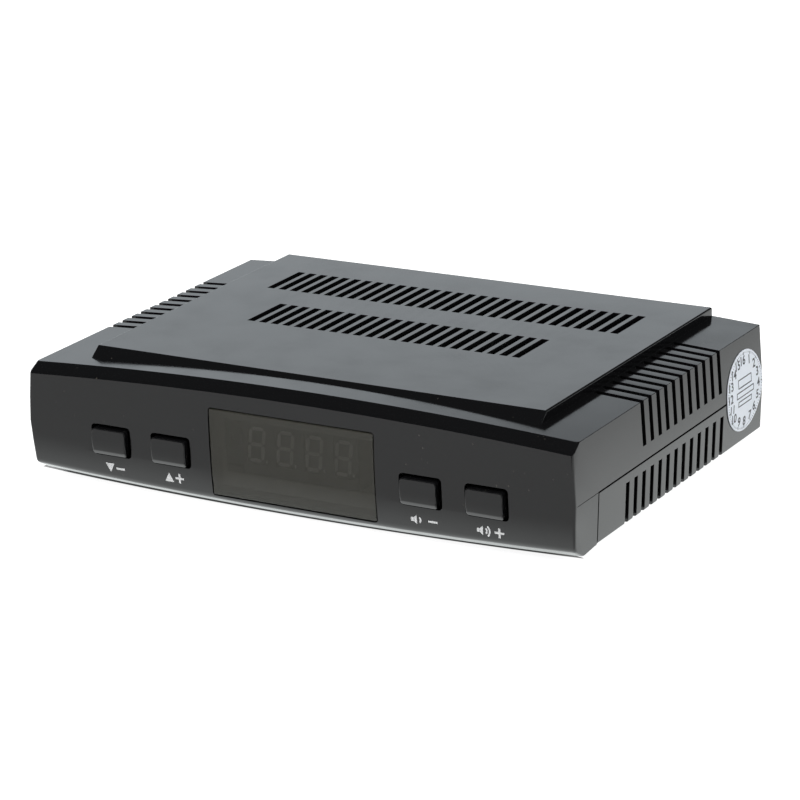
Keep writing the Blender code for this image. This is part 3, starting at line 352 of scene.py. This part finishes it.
# Display window: one smoothly bowed plate with polished rims and its holding flange

def makeWindow():
    plate = {"across": 28, "up": 14, "width": 42.3 * mm, "height": 20.2 * mm, "shift": 0.5 * mm,
             "foot": 4.55 * mm, "rim": 0.15 * mm, "rimSegments": 3, "rimTurn": 40, "flange": 0.75 * mm,
             "hold": 3.5 * mm, "holdRaise": 1.5 * mm, "holdSegments": 2, "probes": 5, "probeSpread": 0.96,
             "probeInset": 0.5 * mm, "probeAway": 1 * mm}
    skin = surfaceOf("display_window")
    low, high = boxOf("display_window")
    back = high.y - plate["flange"] / 2
    heights = [plate["foot"] + plate["height"] * i / plate["up"] for i in range(plate["up"] + 1)]
    depths = []
    for z in heights:
        row = []
        for i in range(plate["probes"]):
            x = plate["shift"] + plate["width"] * plate["probeSpread"] * (i / (plate["probes"] - 1) - 0.5)
            inside = max(z, plate["foot"] + plate["probeInset"])
            inside = min(inside, plate["foot"] + plate["height"] - plate["probeInset"])
            start = Vector((x, low.y - plate["probeAway"], inside))
            row.append(skin.ray_cast(start, Vector((0, 1, 0)))[0].y)
        depths.append(sum(row) / len(row))
    smooth = []
    for i in range(len(depths)):
        near = depths[max(0, i - 1):i + 2]
        smooth.append(sum(near) / len(near))
    corners = []
    for y, z in zip(smooth, heights):
        for i in range(plate["across"] + 1):
            corners.append((plate["shift"] + plate["width"] * (i / plate["across"] - 0.5), y, z))
    wide = plate["across"] + 1
    faces = [(j * wide + i, j * wide + i + 1, (j + 1) * wide + i + 1, (j + 1) * wide + i)
             for j in range(plate["up"]) for i in range(plate["across"])]
    last = plate["up"] * wide
    rim = [*range(wide), *[j * wide + wide - 1 for j in range(1, plate["up"] + 1)],
           *range(last + wide - 2, last - 1, -1), *[j * wide for j in range(plate["up"] - 1, 0, -1)]]
    first = len(corners)
    corners += [(corners[i][0], back, corners[i][2]) for i in rim]
    for i in range(len(rim)):
        j = (i + 1) % len(rim)
        faces.append((rim[j], rim[i], first + i, first + j))
    faces.append(tuple(first + i for i in range(len(rim) - 1, -1, -1)))
    piece = newPiece("display_window_finished", corners, faces, windowAcrylic)
    piece.data.shade_smooth()
    bevel = piece.modifiers.new("polished rim", "BEVEL")
    bevel.width = plate["rim"]
    bevel.segments = plate["rimSegments"]
    bevel.limit_method = "ANGLE"
    bevel.angle_limit = math.radians(plate["rimTurn"])
    normals = piece.modifiers.new("flat faces", "WEIGHTED_NORMAL")
    normals.weight = cleaning["flatWeight"]
    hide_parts("display_window")
    # the flange that holds the plate from behind, open in its middle for the display
    middle = Vector((plate["shift"], 0, (low.z + plate["holdRaise"] + high.z) / 2))
    outer = Vector(((high.x - low.x) / 2, 0, (high.z - low.z - plate["holdRaise"]) / 2))
    inner = outer - Vector((plate["hold"], 0, plate["hold"]))
    corners = []
    for y in (high.y - 2 * (high.y - back), high.y):
        for reach in (outer, inner):
            for across, up in ((-1, -1), (1, -1), (1, 1), (-1, 1)):
                corners.append((middle.x + across * reach.x, y, middle.z + up * reach.z))
    faces = []
    for i in range(4):
        j = (i + 1) % 4
        faces += [(i, j, 4 + j, 4 + i), (8 + j, 8 + i, 12 + i, 12 + j), (j, i, 8 + i, 8 + j),
                  (4 + i, 4 + j, 12 + j, 12 + i)]
    flange = newPiece("window_flange", corners, faces, windowAcrylic)
    bevel = flange.modifiers.new("moulded edges", "BEVEL")
    bevel.width = plate["rim"]
    bevel.segments = plate["holdSegments"]


makeWindow()


# Unlit segments of the display, just in front of the floor of each digit's recess

def makeSegments():
    look = {"digits": 4, "pitch": 30.1 / 4 * mm, "width": 4.4 * mm, "height": 8.4 * mm,
            "stroke": 0.9 * mm, "gap": 0.12 * mm, "lean": 0.12, "lift": 0.05 * mm, "recess": 0.25 * mm,
            "shift": 0.5 * mm, "dotRoom": 0.2 * mm, "dot": 0.45 * mm, "dotGap": 0.9 * mm, "dotSides": 10}
    low, high = boxOf("display_module")
    y = low.y + look["recess"] - look["lift"]
    middle = (low.z + high.z) / 2
    corners = []
    faces = []

    def bar(x, z, length, upright):
        half = length / 2 - look["gap"]
        thick = look["stroke"] / 2
        shape = [(-half, 0), (-half + thick, thick), (half - thick, thick), (half, 0),
                 (half - thick, -thick), (-half + thick, -thick)]
        first = len(corners)
        for along, side in shape:
            a, b = (x + side, z + along) if upright else (x + along, z + side)
            corners.append((a + (b - middle) * look["lean"], y, b))
        faces.append(tuple(first + i for i in range(len(shape))))

    for digit in range(look["digits"]):
        x = look["shift"] + look["pitch"] * (digit - (look["digits"] - 1) / 2) - look["dotRoom"]
        reach = (look["height"] - look["stroke"]) / 2
        side = (look["width"] - look["stroke"]) / 2
        for up in (-1, 0, 1):
            bar(x, middle + up * reach, 2 * side, False)
        for up in (-0.5, 0.5):
            for across in (-side, side):
                bar(x + across, middle + up * reach, reach, True)
        first = len(corners)
        for i in range(look["dotSides"]):
            turn = 2 * math.pi * i / look["dotSides"]
            corners.append((x + side + look["dotGap"] + look["dot"] * math.cos(turn), y,
                            middle - reach + look["dot"] * math.sin(turn)))
        faces.append(tuple(first + i for i in range(look["dotSides"])))
    newPiece("display_segments", corners, faces, ghostEpoxy)


makeSegments()


# Printing on the front: plain pictograms under the buttons, laid on the moulded face

def makeLegends():
    ink = {"stroke": 0.5 * mm, "lift": 0.02 * mm, "height": 2.15 * mm, "signReach": 0.42,
           "triangleWide": 1.1, "triangleLeft": 1.2 * mm, "triangleSign": 1.6 * mm,
           "speakerLeft": 1.6 * mm, "speakerSign": 2.4 * mm,
           "place": {"channel_down": (-47.5, 6.74), "channel_up": (-31.3, 6.85),
                     "volume_down": (33.5, 6.65), "volume_up": (49.8, 6.68)}}
    # the loudspeaker's measures are shares of half its height, its waves' stroke a share of the line's
    horn = {"box": 1.35, "neck": 0.75, "mouth": 0.7, "throat": 0.42, "wave": 0.55, "waveStep": 0.65,
            "waveShift": 0.15, "waveTurn": 50, "waveParts": 6, "waveStroke": 0.8}
    skin = surfaceOf("top_cover")
    corners = []
    faces = []

    def lay(shape):
        spots = []
        for x, z in shape:
            hit = skin.ray_cast(Vector((x, -away, z)), Vector((0, 1, 0)))[0]
            spots.append((x, hit.y - ink["lift"], z))
        first = len(corners)
        corners.extend(spots)
        faces.append(tuple(first + i for i in range(len(shape))))

    def line(start, end):
        ahead = (Vector(end) - Vector(start)).normalized()
        side = Vector((-ahead.y, ahead.x)) * ink["stroke"] / 2
        a = Vector(start) - ahead * ink["stroke"] / 2
        b = Vector(end) + ahead * ink["stroke"] / 2
        lay([tuple(a - side), tuple(b - side), tuple(b + side), tuple(a + side)])

    def sign(x, z, plus):
        reach = ink["height"] * ink["signReach"]
        line((x - reach, z), (x + reach, z))
        if plus:
            line((x, z - reach), (x, z - ink["stroke"]))
            line((x, z + ink["stroke"]), (x, z + reach))

    def triangle(x, z, up):
        half = ink["height"] / 2
        tip = half if up else -half
        wide = half * ink["triangleWide"]
        lay([(x - wide, z - tip), (x + wide, z - tip), (x, z + tip)])

    def speaker(x, z, waves):
        half = ink["height"] / 2
        box, neck, mouth, throat = (horn[name] * half for name in ("box", "neck", "mouth", "throat"))
        lay([(x - box, z - throat), (x - neck, z - throat), (x - neck, z + throat), (x - box, z + throat)])
        lay([(x - mouth, z - throat), (x, z - half), (x, z + half), (x - mouth, z + throat)])
        for wave in range(waves):
            radius = (horn["wave"] + horn["waveStep"] * wave) * half
            inner = []
            outer = []
            for i in range(horn["waveParts"] + 1):
                turn = math.radians(-horn["waveTurn"] + 2 * horn["waveTurn"] * i / horn["waveParts"])
                a = x + horn["waveShift"] * half + radius * math.cos(turn)
                b = z + radius * math.sin(turn)
                inner.append((a, b))
                outer.append((a + ink["stroke"] * horn["waveStroke"] * math.cos(turn),
                              b + ink["stroke"] * horn["waveStroke"] * math.sin(turn)))
            for i in range(horn["waveParts"]):
                lay([inner[i], inner[i + 1], outer[i + 1], outer[i]])

    for place, (x, z) in ink["place"].items():
        x, z = x * mm, z * mm
        if place.startswith("channel"):
            triangle(x - ink["triangleLeft"], z, place == "channel_up")
            sign(x + ink["triangleSign"], z, place == "channel_up")
        else:
            speaker(x - ink["speakerLeft"], z, 2 if place == "volume_up" else 1)
            sign(x + ink["speakerSign"], z, place == "volume_up")
    newPiece("front_legends", corners, faces, whiteInk)


makeLegends()


# The parting line runs on to both front corners as a hairline, where the mould's halves closed; the
# hairline is a dark matte strip on the surface, its darkness painted shade in place of the seam's gap

def makeSeams():
    seam = {"width": 0.16 * mm, "lift": 0.012 * mm, "gap": 0.3 * mm, "corner": 0.12 * mm,
            "turn": 0.45 * mm, "steps": 12, "wall": 1.2 * mm}
    skin = surfaceOf("top_cover")
    low, high = boxOf("base_tray")
    tray = frame["nodes"]["base_tray"].data
    wall = [v.co.y for v in tray.vertices if v.co.x > high.x - seam["wall"]]
    start = min(wall) - seam["gap"] - seam["corner"]
    middle = high.z + seam["gap"] / 2
    edge = skin.ray_cast(Vector((high.x - seam["turn"], -away, middle)), Vector((0, 1, 0)))[0].y
    corners = []
    faces = []
    for side in (1, -1):
        first = len(corners)
        for i in range(seam["steps"] + 1):
            y = start + (edge + seam["corner"] - start) * i / seam["steps"]
            for z in (middle - seam["width"] / 2, middle + seam["width"] / 2):
                hit = skin.ray_cast(Vector((side * away, y, z)), Vector((-side, 0, 0)))[0]
                corners.append((hit.x + side * seam["lift"], y, z))
        for i in range(first, first + 2 * seam["steps"], 2):
            faces.append((i, i + 1, i + 3, i + 2) if side > 0 else (i, i + 2, i + 3, i + 1))
    newPiece("corner_seam_shade", corners, faces, paintedSeamShade)


makeSeams()


# Spring contacts on the tongues of the two data sockets

def makeContacts():
    look = {"usb_tongue": {"count": 4, "pitch": 2.3 * mm, "width": 1.1 * mm, "length": 6.5 * mm,
                           "side": -1},
            "hdmi_tongue": {"count": 9, "pitch": 1.0 * mm, "width": 0.5 * mm, "length": 4.5 * mm,
                            "side": 1}}
    strip = {"thick": 0.12 * mm, "setback": 0.5 * mm, "top": 0.7, "probeBack": 1.5 * mm,
             "probeAway": 10 * mm}
    section = ((-1, 0), (1, 0), (strip["top"], 1), (-strip["top"], 1))
    sides = ((0, 3, 2, 1), (4, 5, 6, 7), (0, 1, 5, 4), (1, 2, 6, 5), (2, 3, 7, 6), (3, 0, 4, 7))
    for node, row in look.items():
        low, high = boxOf(node)
        skin = surfaceOf(node)
        side = row["side"]
        end = high.y - strip["setback"]
        corners = []
        faces = []
        for i in range(row["count"]):
            x = (low.x + high.x) / 2 + row["pitch"] * (i - (row["count"] - 1) / 2)
            probe = Vector((x, high.y - strip["probeBack"],
                            (low.z + high.z) / 2 + side * strip["probeAway"]))
            z = skin.ray_cast(probe, Vector((0, 0, -side)))[0].z
            first = len(corners)
            for y in (end - row["length"], end):
                for a, b in section:
                    corners.append((x + a * row["width"] / 2, y, z + side * b * strip["thick"]))
            faces += [tuple(first + j for j in face) for face in sides]
        newPiece(node + "_contacts", corners, faces, goldPlate)


makeContacts()


# Round label on the right side: coated paper with a ring of plain numbers round empty ruled boxes

# the paper lies on the plastic: its copy and its print sit nearer the side than the part's own gap
labelSeat = 0.27 * mm


def numberMesh(number, height):
    face = {"size": 1.42, "swell": 0.03}  # shares of a digit's height
    curve = bpy.data.curves.new("number", "FONT")
    curve.body = str(number)
    curve.size = height * face["size"]
    curve.offset = height * face["swell"]
    curve.align_x = "CENTER"
    curve.align_y = "CENTER"
    holder = bpy.data.objects.new("number", curve)
    bpy.context.scene.collection.objects.link(holder)
    bpy.context.view_layer.update()
    solved = holder.evaluated_get(bpy.context.evaluated_depsgraph_get())
    mesh = bpy.data.meshes.new_from_object(solved)
    bpy.data.objects.remove(holder, do_unlink=True)
    shape = [tuple(v.co[:2]) for v in mesh.vertices]
    faces = [tuple(polygon.vertices) for polygon in mesh.polygons]
    bpy.data.meshes.remove(mesh)
    heights = [v[1] for v in shape]
    middle = (sum(v[0] for v in shape) / len(shape), (min(heights) + max(heights)) / 2)
    return [(a - middle[0], b - middle[1]) for a, b in shape], faces


def makeLabel():
    # each box is its left, bottom, right and top in mm from the label's middle
    look = {"numbers": 16, "numberRing": 7.35 * mm, "number": 2.1 * mm, "ticks": 80, "longEvery": 5,
            "tickOuter": 9.15 * mm, "tickInner": 8.75 * mm, "longTick": 8.5 * mm, "tickWidth": 0.15 * mm,
            "longWide": 2, "lift": 0.015 * mm, "line": 0.28 * mm,
            "boxes": ((-3.6, 1.2, 3.6, 3.4), (-4.6, -1.1, 4.6, 0.5), (-3.6, -3.2, 3.6, -1.8))}
    skin = surfaceOf("round_label")
    low, high = boxOf("round_label")
    centre = ((low.y + high.y) / 2, (low.z + high.z) / 2)
    corners = []
    faces = []

    def lay(shape, polygons):
        first = len(corners)
        corners.extend((0, centre[0] + a, centre[1] + b) for a, b in shape)
        faces.extend(tuple(first + i for i in polygon) for polygon in polygons)

    def bar(left, bottom, right, top):
        lay([(left, bottom), (right, bottom), (right, top), (left, top)], [(0, 1, 2, 3)])

    for place in range(look["numbers"]):
        turn = math.pi / 2 - 2 * math.pi * (place + 1) / look["numbers"]
        shape, polygons = numberMesh(place + 1, look["number"])
        spot = (look["numberRing"] * math.cos(turn), look["numberRing"] * math.sin(turn))
        lay([(spot[0] + a, spot[1] + b) for a, b in shape], polygons)
    for tick in range(look["ticks"]):
        turn = 2 * math.pi * tick / look["ticks"]
        long = tick % look["longEvery"] == 0
        inner = look["longTick"] if long else look["tickInner"]
        width = look["tickWidth"] * (look["longWide"] if long else 1)
        shape = []
        outer = look["tickOuter"]
        for radius, side in ((inner, -0.5), (outer, -0.5), (outer, 0.5), (inner, 0.5)):
            shape.append((radius * math.cos(turn) - side * width * math.sin(turn),
                          radius * math.sin(turn) + side * width * math.cos(turn)))
        lay(shape, [(0, 1, 2, 3)])
    for left, bottom, right, top in look["boxes"]:
        left, bottom, right, top = (value * mm for value in (left, bottom, right, top))
        bar(left, bottom, right, bottom + look["line"])
        bar(left, top - look["line"], right, top)
        bar(left, bottom, left + look["line"], top)
        bar(right - look["line"], bottom, right, top)
    piece = newPiece("label_print", corners, faces, labelInk)
    # the paper is folded over the parting line: the print is cut there, then laid on both halves
    fold = max(frame["nodes"]["round_label"].data.vertices, key=lambda v: v.co.x).co.z
    shape = bmesh.new()
    shape.from_mesh(piece.data)
    bmesh.ops.bisect_plane(shape, geom=[*shape.verts, *shape.edges, *shape.faces],
                           plane_co=(0, 0, fold), plane_no=(0, 0, 1))
    for corner in shape.verts:
        hit = skin.ray_cast(Vector((away, corner.co.y, corner.co.z)), Vector((-1, 0, 0)))[0]
        corner.co.x = hit.x + look["lift"] - labelSeat
    shape.to_mesh(piece.data)
    shape.free()


label = dressNode("round_label", labelPaper, edges["label"])
for corner in label.data.vertices:
    corner.co.x -= labelSeat
makeLabel()
print("window, display, legends and label made")


# Pieces inside keep their nodes, with a finish each

insideFinish = {
    "key_board": solderMask, "main_board": solderMask, "display_module": displayEpoxy,
    "infrared_receiver": chipEpoxy, "tuner_can": zincSteel, "main_processor": chipEpoxy,
    "heat_sink": aluminium, "memory_chip": chipEpoxy, "flash_chip": chipEpoxy,
    "input_capacitor": sleevePvc, "output_capacitor": sleevePvc, "aerial_capacitor": sleevePvc,
    "power_inductor": ferrite, "clock_crystal": zincSteel, "board_link": whiteNylon,
    "left_board_screw": zincSteel, "right_board_screw": zincSteel,
    "left_key_screw": zincSteel, "right_key_screw": zincSteel,
}
for place in ("channel_down", "channel_up", "volume_down", "volume_up"):
    insideFinish[place + "_switch"] = connectorNylon
    insideFinish[place + "_plunger"] = chipEpoxy
for node, material in insideFinish.items():
    mesh = frame["nodes"][node].data
    mesh.materials.clear()
    mesh.materials.append(material)
print("inner pieces finished")


# Studio: a pale sweep, a low bright surround behind and a dark ceiling, as for gloss black goods

def softZone(tree, borders):
    # how far a point lies in a zone: the product of its soft borders, each given as the value that it runs
    # over, where it starts and ends, and its share before and after
    share = None
    for value, start, end, before, after in borders:
        border = addNode(tree, "MapRange", {
            "interpolation_type": "SMOOTHSTEP", "From Min": start, "From Max": end, "To Min": before,
            "To Max": after}, {"Value": value}).outputs[0]
        if share is not None:
            border = addNode(tree, "Math", {"operation": "MULTIPLY"}, {0: share, 1: border}).outputs[0]
        share = border
    return share


def makeFloor():
    sweep = {"side": 6.0, "colour": "#cbcbcb", "grainWidth": 0.4 * mm, "grainDepth": 0.01 * mm,
             "grainStrength": 0.2, "cameraGlow": 0.9, "paintedShadeGlow": 0.02, "paintedReflectionGlow": 1.0, "paintedReflectionLow": 0.1,
             "paintedReflectionTint": (0.95, 1.0, 0.99, 1.0)}
    # where the painted reflection's glow lies on the floor, and how far it fades
    panel = {"front": (-75 * mm, -51 * mm), "right": (78 * mm, 125 * mm), "rightShare": 0.35,
             "side": (71 * mm, 76 * mm), "sideShare": 0.84, "under": (-50 * mm, -48 * mm),
             "underShare": 0.97, "cornerSide": (71 * mm, 77 * mm), "cornerFront": (-57 * mm, -51.5 * mm)}
    # where the painted shade lies under the lip: its bowed front edge, its softness and its limits
    shade = {"front": -45.25 * mm, "soft": 0.3 * mm, "bow": 3.62 * mm, "middle": -4.1 * mm,
             "half": 70.8 * mm, "right": 67.0 * mm, "side": 65.0 * mm, "left": -75.5 * mm,
             "back": 30 * mm, "corner": (-41.3 * mm, -40.5 * mm)}
    product = {"operation": "MULTIPLY"}
    made, tree = newMaterial("paper sweep with painted reflection and shade")
    grain = addNode(tree, "TexNoise", {"Scale": 1.0, "Detail": 3.0},
                    {"Vector": objectPlace(tree, sweep["grainWidth"])})
    bump = addNode(tree, "Bump", {"Strength": sweep["grainStrength"], "Distance": sweep["grainDepth"]},
                   {"Height": grain.outputs[0]})
    paper = addNode(tree, "BsdfDiffuse", {"Color": srgb(sweep["colour"])}, {"Normal": bump.outputs[0]})
    path = addNode(tree, "LightPath", {}, {})
    place = addNode(tree, "TexCoord", {}, {}).outputs["Object"]
    spot = addNode(tree, "SeparateXYZ", {}, {"Vector": place})
    across, along = spot.outputs["X"], spot.outputs["Y"]
    # painted reflection: a glow on the paper that only the gloss surfaces see, in place of a light panel
    # under it: it ends just in front of the receiver and leaves out the field off its front right corner,
    # which paints that corner its dark line
    lit = softZone(tree, [(along, *panel["front"], 0.0, 1.0),
                          (across, *panel["right"], 1.0, panel["rightShare"]),
                          (across, *panel["side"], 1.0, panel["sideShare"]),
                          (along, *panel["under"], 1.0, panel["underShare"])])
    corner = softZone(tree, [(across, *panel["cornerSide"], 0.0, 1.0),
                             (along, *panel["cornerFront"], 1.0, 0.0)])
    rest = addNode(tree, "Math", {"operation": "SUBTRACT", 0: 1.0}, {1: corner}).outputs[0]
    lit = addNode(tree, "Math", product, {0: lit, 1: rest}).outputs[0]
    mirror = addNode(tree, "MapRange", {"To Min": sweep["paintedReflectionLow"], "To Max": sweep["paintedReflectionGlow"]},
                     {"Value": lit}).outputs[0]
    # painted shade: right under the bowed lip the glow that the eye sees drops away, which draws a dark
    # line along it
    offset = addNode(tree, "Math", {
        "operation": "MULTIPLY_ADD", 1: 1 / shade["half"], 2: -shade["middle"] / shade["half"]},
        {0: across}).outputs[0]
    square = addNode(tree, "Math", product, {0: offset, 1: offset}).outputs[0]
    level = addNode(tree, "Math", {"operation": "MULTIPLY_ADD", 1: -shade["bow"]},
                    {0: square, 2: along}).outputs[0]
    # behind the front right corner the painted shade keeps clear of the side's lower edge, under which the
    # floor shows white
    limit = softZone(tree, [(along, *shade["corner"], shade["right"], shade["side"])])
    past = addNode(tree, "Math", {"operation": "SUBTRACT"}, {0: across, 1: limit}).outputs[0]
    dark = softZone(tree, [(level, shade["front"], shade["front"] + shade["soft"], 0.0, 1.0),
                           (past, 0.0, shade["soft"], 1.0, 0.0),
                           (across, shade["left"], shade["left"] + shade["soft"], 0.0, 1.0),
                           (along, shade["back"], 2 * shade["back"], 1.0, 0.0)])
    glow = addNode(tree, "MapRange", {"To Min": sweep["cameraGlow"], "To Max": sweep["paintedShadeGlow"]},
                   {"Value": dark}).outputs[0]
    # camera and transmission rays see the glow with its painted shade, gloss rays the tinted painted
    # reflection
    glossy = path.outputs["Is Glossy Ray"]
    seen = addNode(tree, "Math", {"operation": "ADD", "use_clamp": True}, {
        0: path.outputs["Is Camera Ray"], 1: path.outputs["Is Transmission Ray"]}).outputs[0]
    paintedReflection = addNode(tree, "Math", product, {0: mirror, 1: glossy}).outputs[0]
    glowing = addNode(tree, "Math", product, {0: glow, 1: seen}).outputs[0]
    strength = addNode(tree, "Math", {"operation": "ADD"}, {0: paintedReflection, 1: glowing})
    tint = addNode(tree, "Mix", {"data_type": "RGBA", 6: (1, 1, 1, 1), 7: sweep["paintedReflectionTint"]},
                   {0: glossy})
    light = addNode(tree, "Emission", {}, {"Strength": strength.outputs[0], "Color": tint.outputs[2]})
    both = addNode(tree, "AddShader", {}, {0: paper.outputs[0], 1: light.outputs[0]})
    # seen from below, the floor lets the underside show
    clear = addNode(tree, "BsdfTransparent", {}, {})
    back = addNode(tree, "NewGeometry", {}, {}).outputs["Backfacing"]
    shader = addNode(tree, "MixShader", {}, {0: back, 1: both.outputs[0], 2: clear.outputs[0]})
    addNode(tree, "OutputMaterial", {}, {"Surface": shader.outputs[0]})
    mesh = bpy.data.meshes.new("floor")
    half = sweep["side"] / 2
    corners = [(-half, -half, 0), (half, -half, 0), (half, half, 0), (-half, half, 0)]
    mesh.from_pydata(corners, [], [(0, 1, 2, 3)])
    mesh.materials.append(made)
    floor = bpy.data.objects.new("floor", mesh)
    bpy.context.scene.collection.objects.link(floor)


def makeWorld():
    surround = {"bright": 0.96, "dark": 0.04, "below": 0.9, "behind": (-0.1, 0.35), "left": (-0.05, -0.3),
                "fade": (0.32, 0.46), "foot": (0.16, 0.28), "footShare": 0.75,
                "tint": (0.93, 1.0, 1.05, 1.0)}
    world = bpy.data.worlds.new("studio")
    world.use_nodes = True
    bpy.context.scene.world = world
    tree = world.node_tree
    tree.nodes.clear()
    ahead = addNode(tree, "TexCoord", {}, {}).outputs["Generated"]
    way = addNode(tree, "SeparateXYZ", {}, {"Vector": ahead})
    share = softZone(tree, [(way.outputs["Y"], *surround["behind"], 0.0, 1.0),
                            (way.outputs["Z"], *surround["fade"], 1.0, 0.0),
                            (way.outputs["X"], *surround["left"], 0.0, 1.0),
                            (way.outputs["Z"], *surround["foot"], surround["footShare"], 1.0)])
    above = addNode(tree, "MapRange", {"To Min": surround["dark"], "To Max": surround["bright"]},
                    {"Value": share})
    under = addNode(tree, "Math", {"operation": "LESS_THAN", 1: 0.0}, {0: way.outputs["Z"]})
    level = addNode(tree, "Mix", {"data_type": "FLOAT", 3: surround["below"]},
                    {0: under.outputs[0], 2: above.outputs[0]})
    # the eye sees plain white behind the receiver, and only light and reflections get the surround
    path = addNode(tree, "LightPath", {}, {})
    plain = addNode(tree, "Math", {"operation": "ADD", "use_clamp": True},
                    {0: path.outputs["Is Camera Ray"], 1: path.outputs["Is Transmission Ray"]})
    strength = addNode(tree, "Mix", {"data_type": "FLOAT", 3: 1.0},
                       {0: plain.outputs[0], 2: level.outputs[0]})
    tint = addNode(tree, "Mix", {"data_type": "RGBA", 6: surround["tint"], 7: (1, 1, 1, 1)},
                   {0: plain.outputs[0]})
    sky = addNode(tree, "Background", {}, {"Strength": strength.outputs[0], "Color": tint.outputs[2]})
    addNode(tree, "OutputWorld", {}, {"Surface": sky.outputs[0]})


def makeSoftboxes():
    # places and sizes in metres, power in watts
    aim = (0, 0, 15 * mm)
    lamps = {"overhead softbox": {"place": (0.1, -0.35, 1.3), "width": 0.5, "height": 0.5, "power": 9},
             "right softbox": {"place": (1.3, -0.1, 0.55), "width": 0.6, "height": 0.4, "power": 9.8},
             "front softbox": {"place": (-0.5, -1.2, 0.9), "width": 0.5, "height": 0.4, "power": 10}}
    for name, box in lamps.items():
        light = bpy.data.lights.new(name, "AREA")
        light.shape = "RECTANGLE"
        light.size = box["width"]
        light.size_y = box["height"]
        light.energy = box["power"]
        lamp = bpy.data.objects.new(name, light)
        lamp.location = box["place"]
        lamp.rotation_euler = (Vector(aim) - Vector(box["place"])).to_track_quat("-Z", "Y").to_euler()
        # the gloss mirrors the surround and the floor: a lamp would burn it out
        lamp.visible_glossy = False
        bpy.context.scene.collection.objects.link(lamp)


makeFloor()
makeWorld()
makeSoftboxes()
print("studio lit")


def makeCamera():
    # the photograph's viewing angle: its place, its turn to the left, its tilt down and its slight roll
    view = {"place": (371.9 * mm, -621.6 * mm, 254.1 * mm), "turn": 31.015, "tilt": 18.338, "roll": -2.254,
            "lens": 147.75, "sensor": 36.0, "near": 0.01, "far": 20}
    turn, tilt, roll = (math.radians(view[name]) for name in ("turn", "tilt", "roll"))
    ahead = Vector((-math.sin(turn) * math.cos(tilt), math.cos(turn) * math.cos(tilt), -math.sin(tilt)))
    right = ahead.cross(Vector((0, 0, 1))).normalized()
    up = right.cross(ahead)
    right, up = (math.cos(roll) * right + math.sin(roll) * up,
                 math.cos(roll) * up - math.sin(roll) * right)
    camera = bpy.data.cameras.new("camera")
    camera.lens = view["lens"]
    camera.sensor_width = view["sensor"]
    camera.clip_start = view["near"]
    camera.clip_end = view["far"]
    holder = bpy.data.objects.new("camera", camera)
    facing = Matrix((right, up, -ahead)).transposed().to_4x4()
    holder.matrix_world = Matrix.Translation(view["place"]) @ facing
    bpy.context.scene.collection.objects.link(holder)
    bpy.context.scene.camera = holder


makeCamera()
bpy.context.scene.view_settings.view_transform = "Standard"
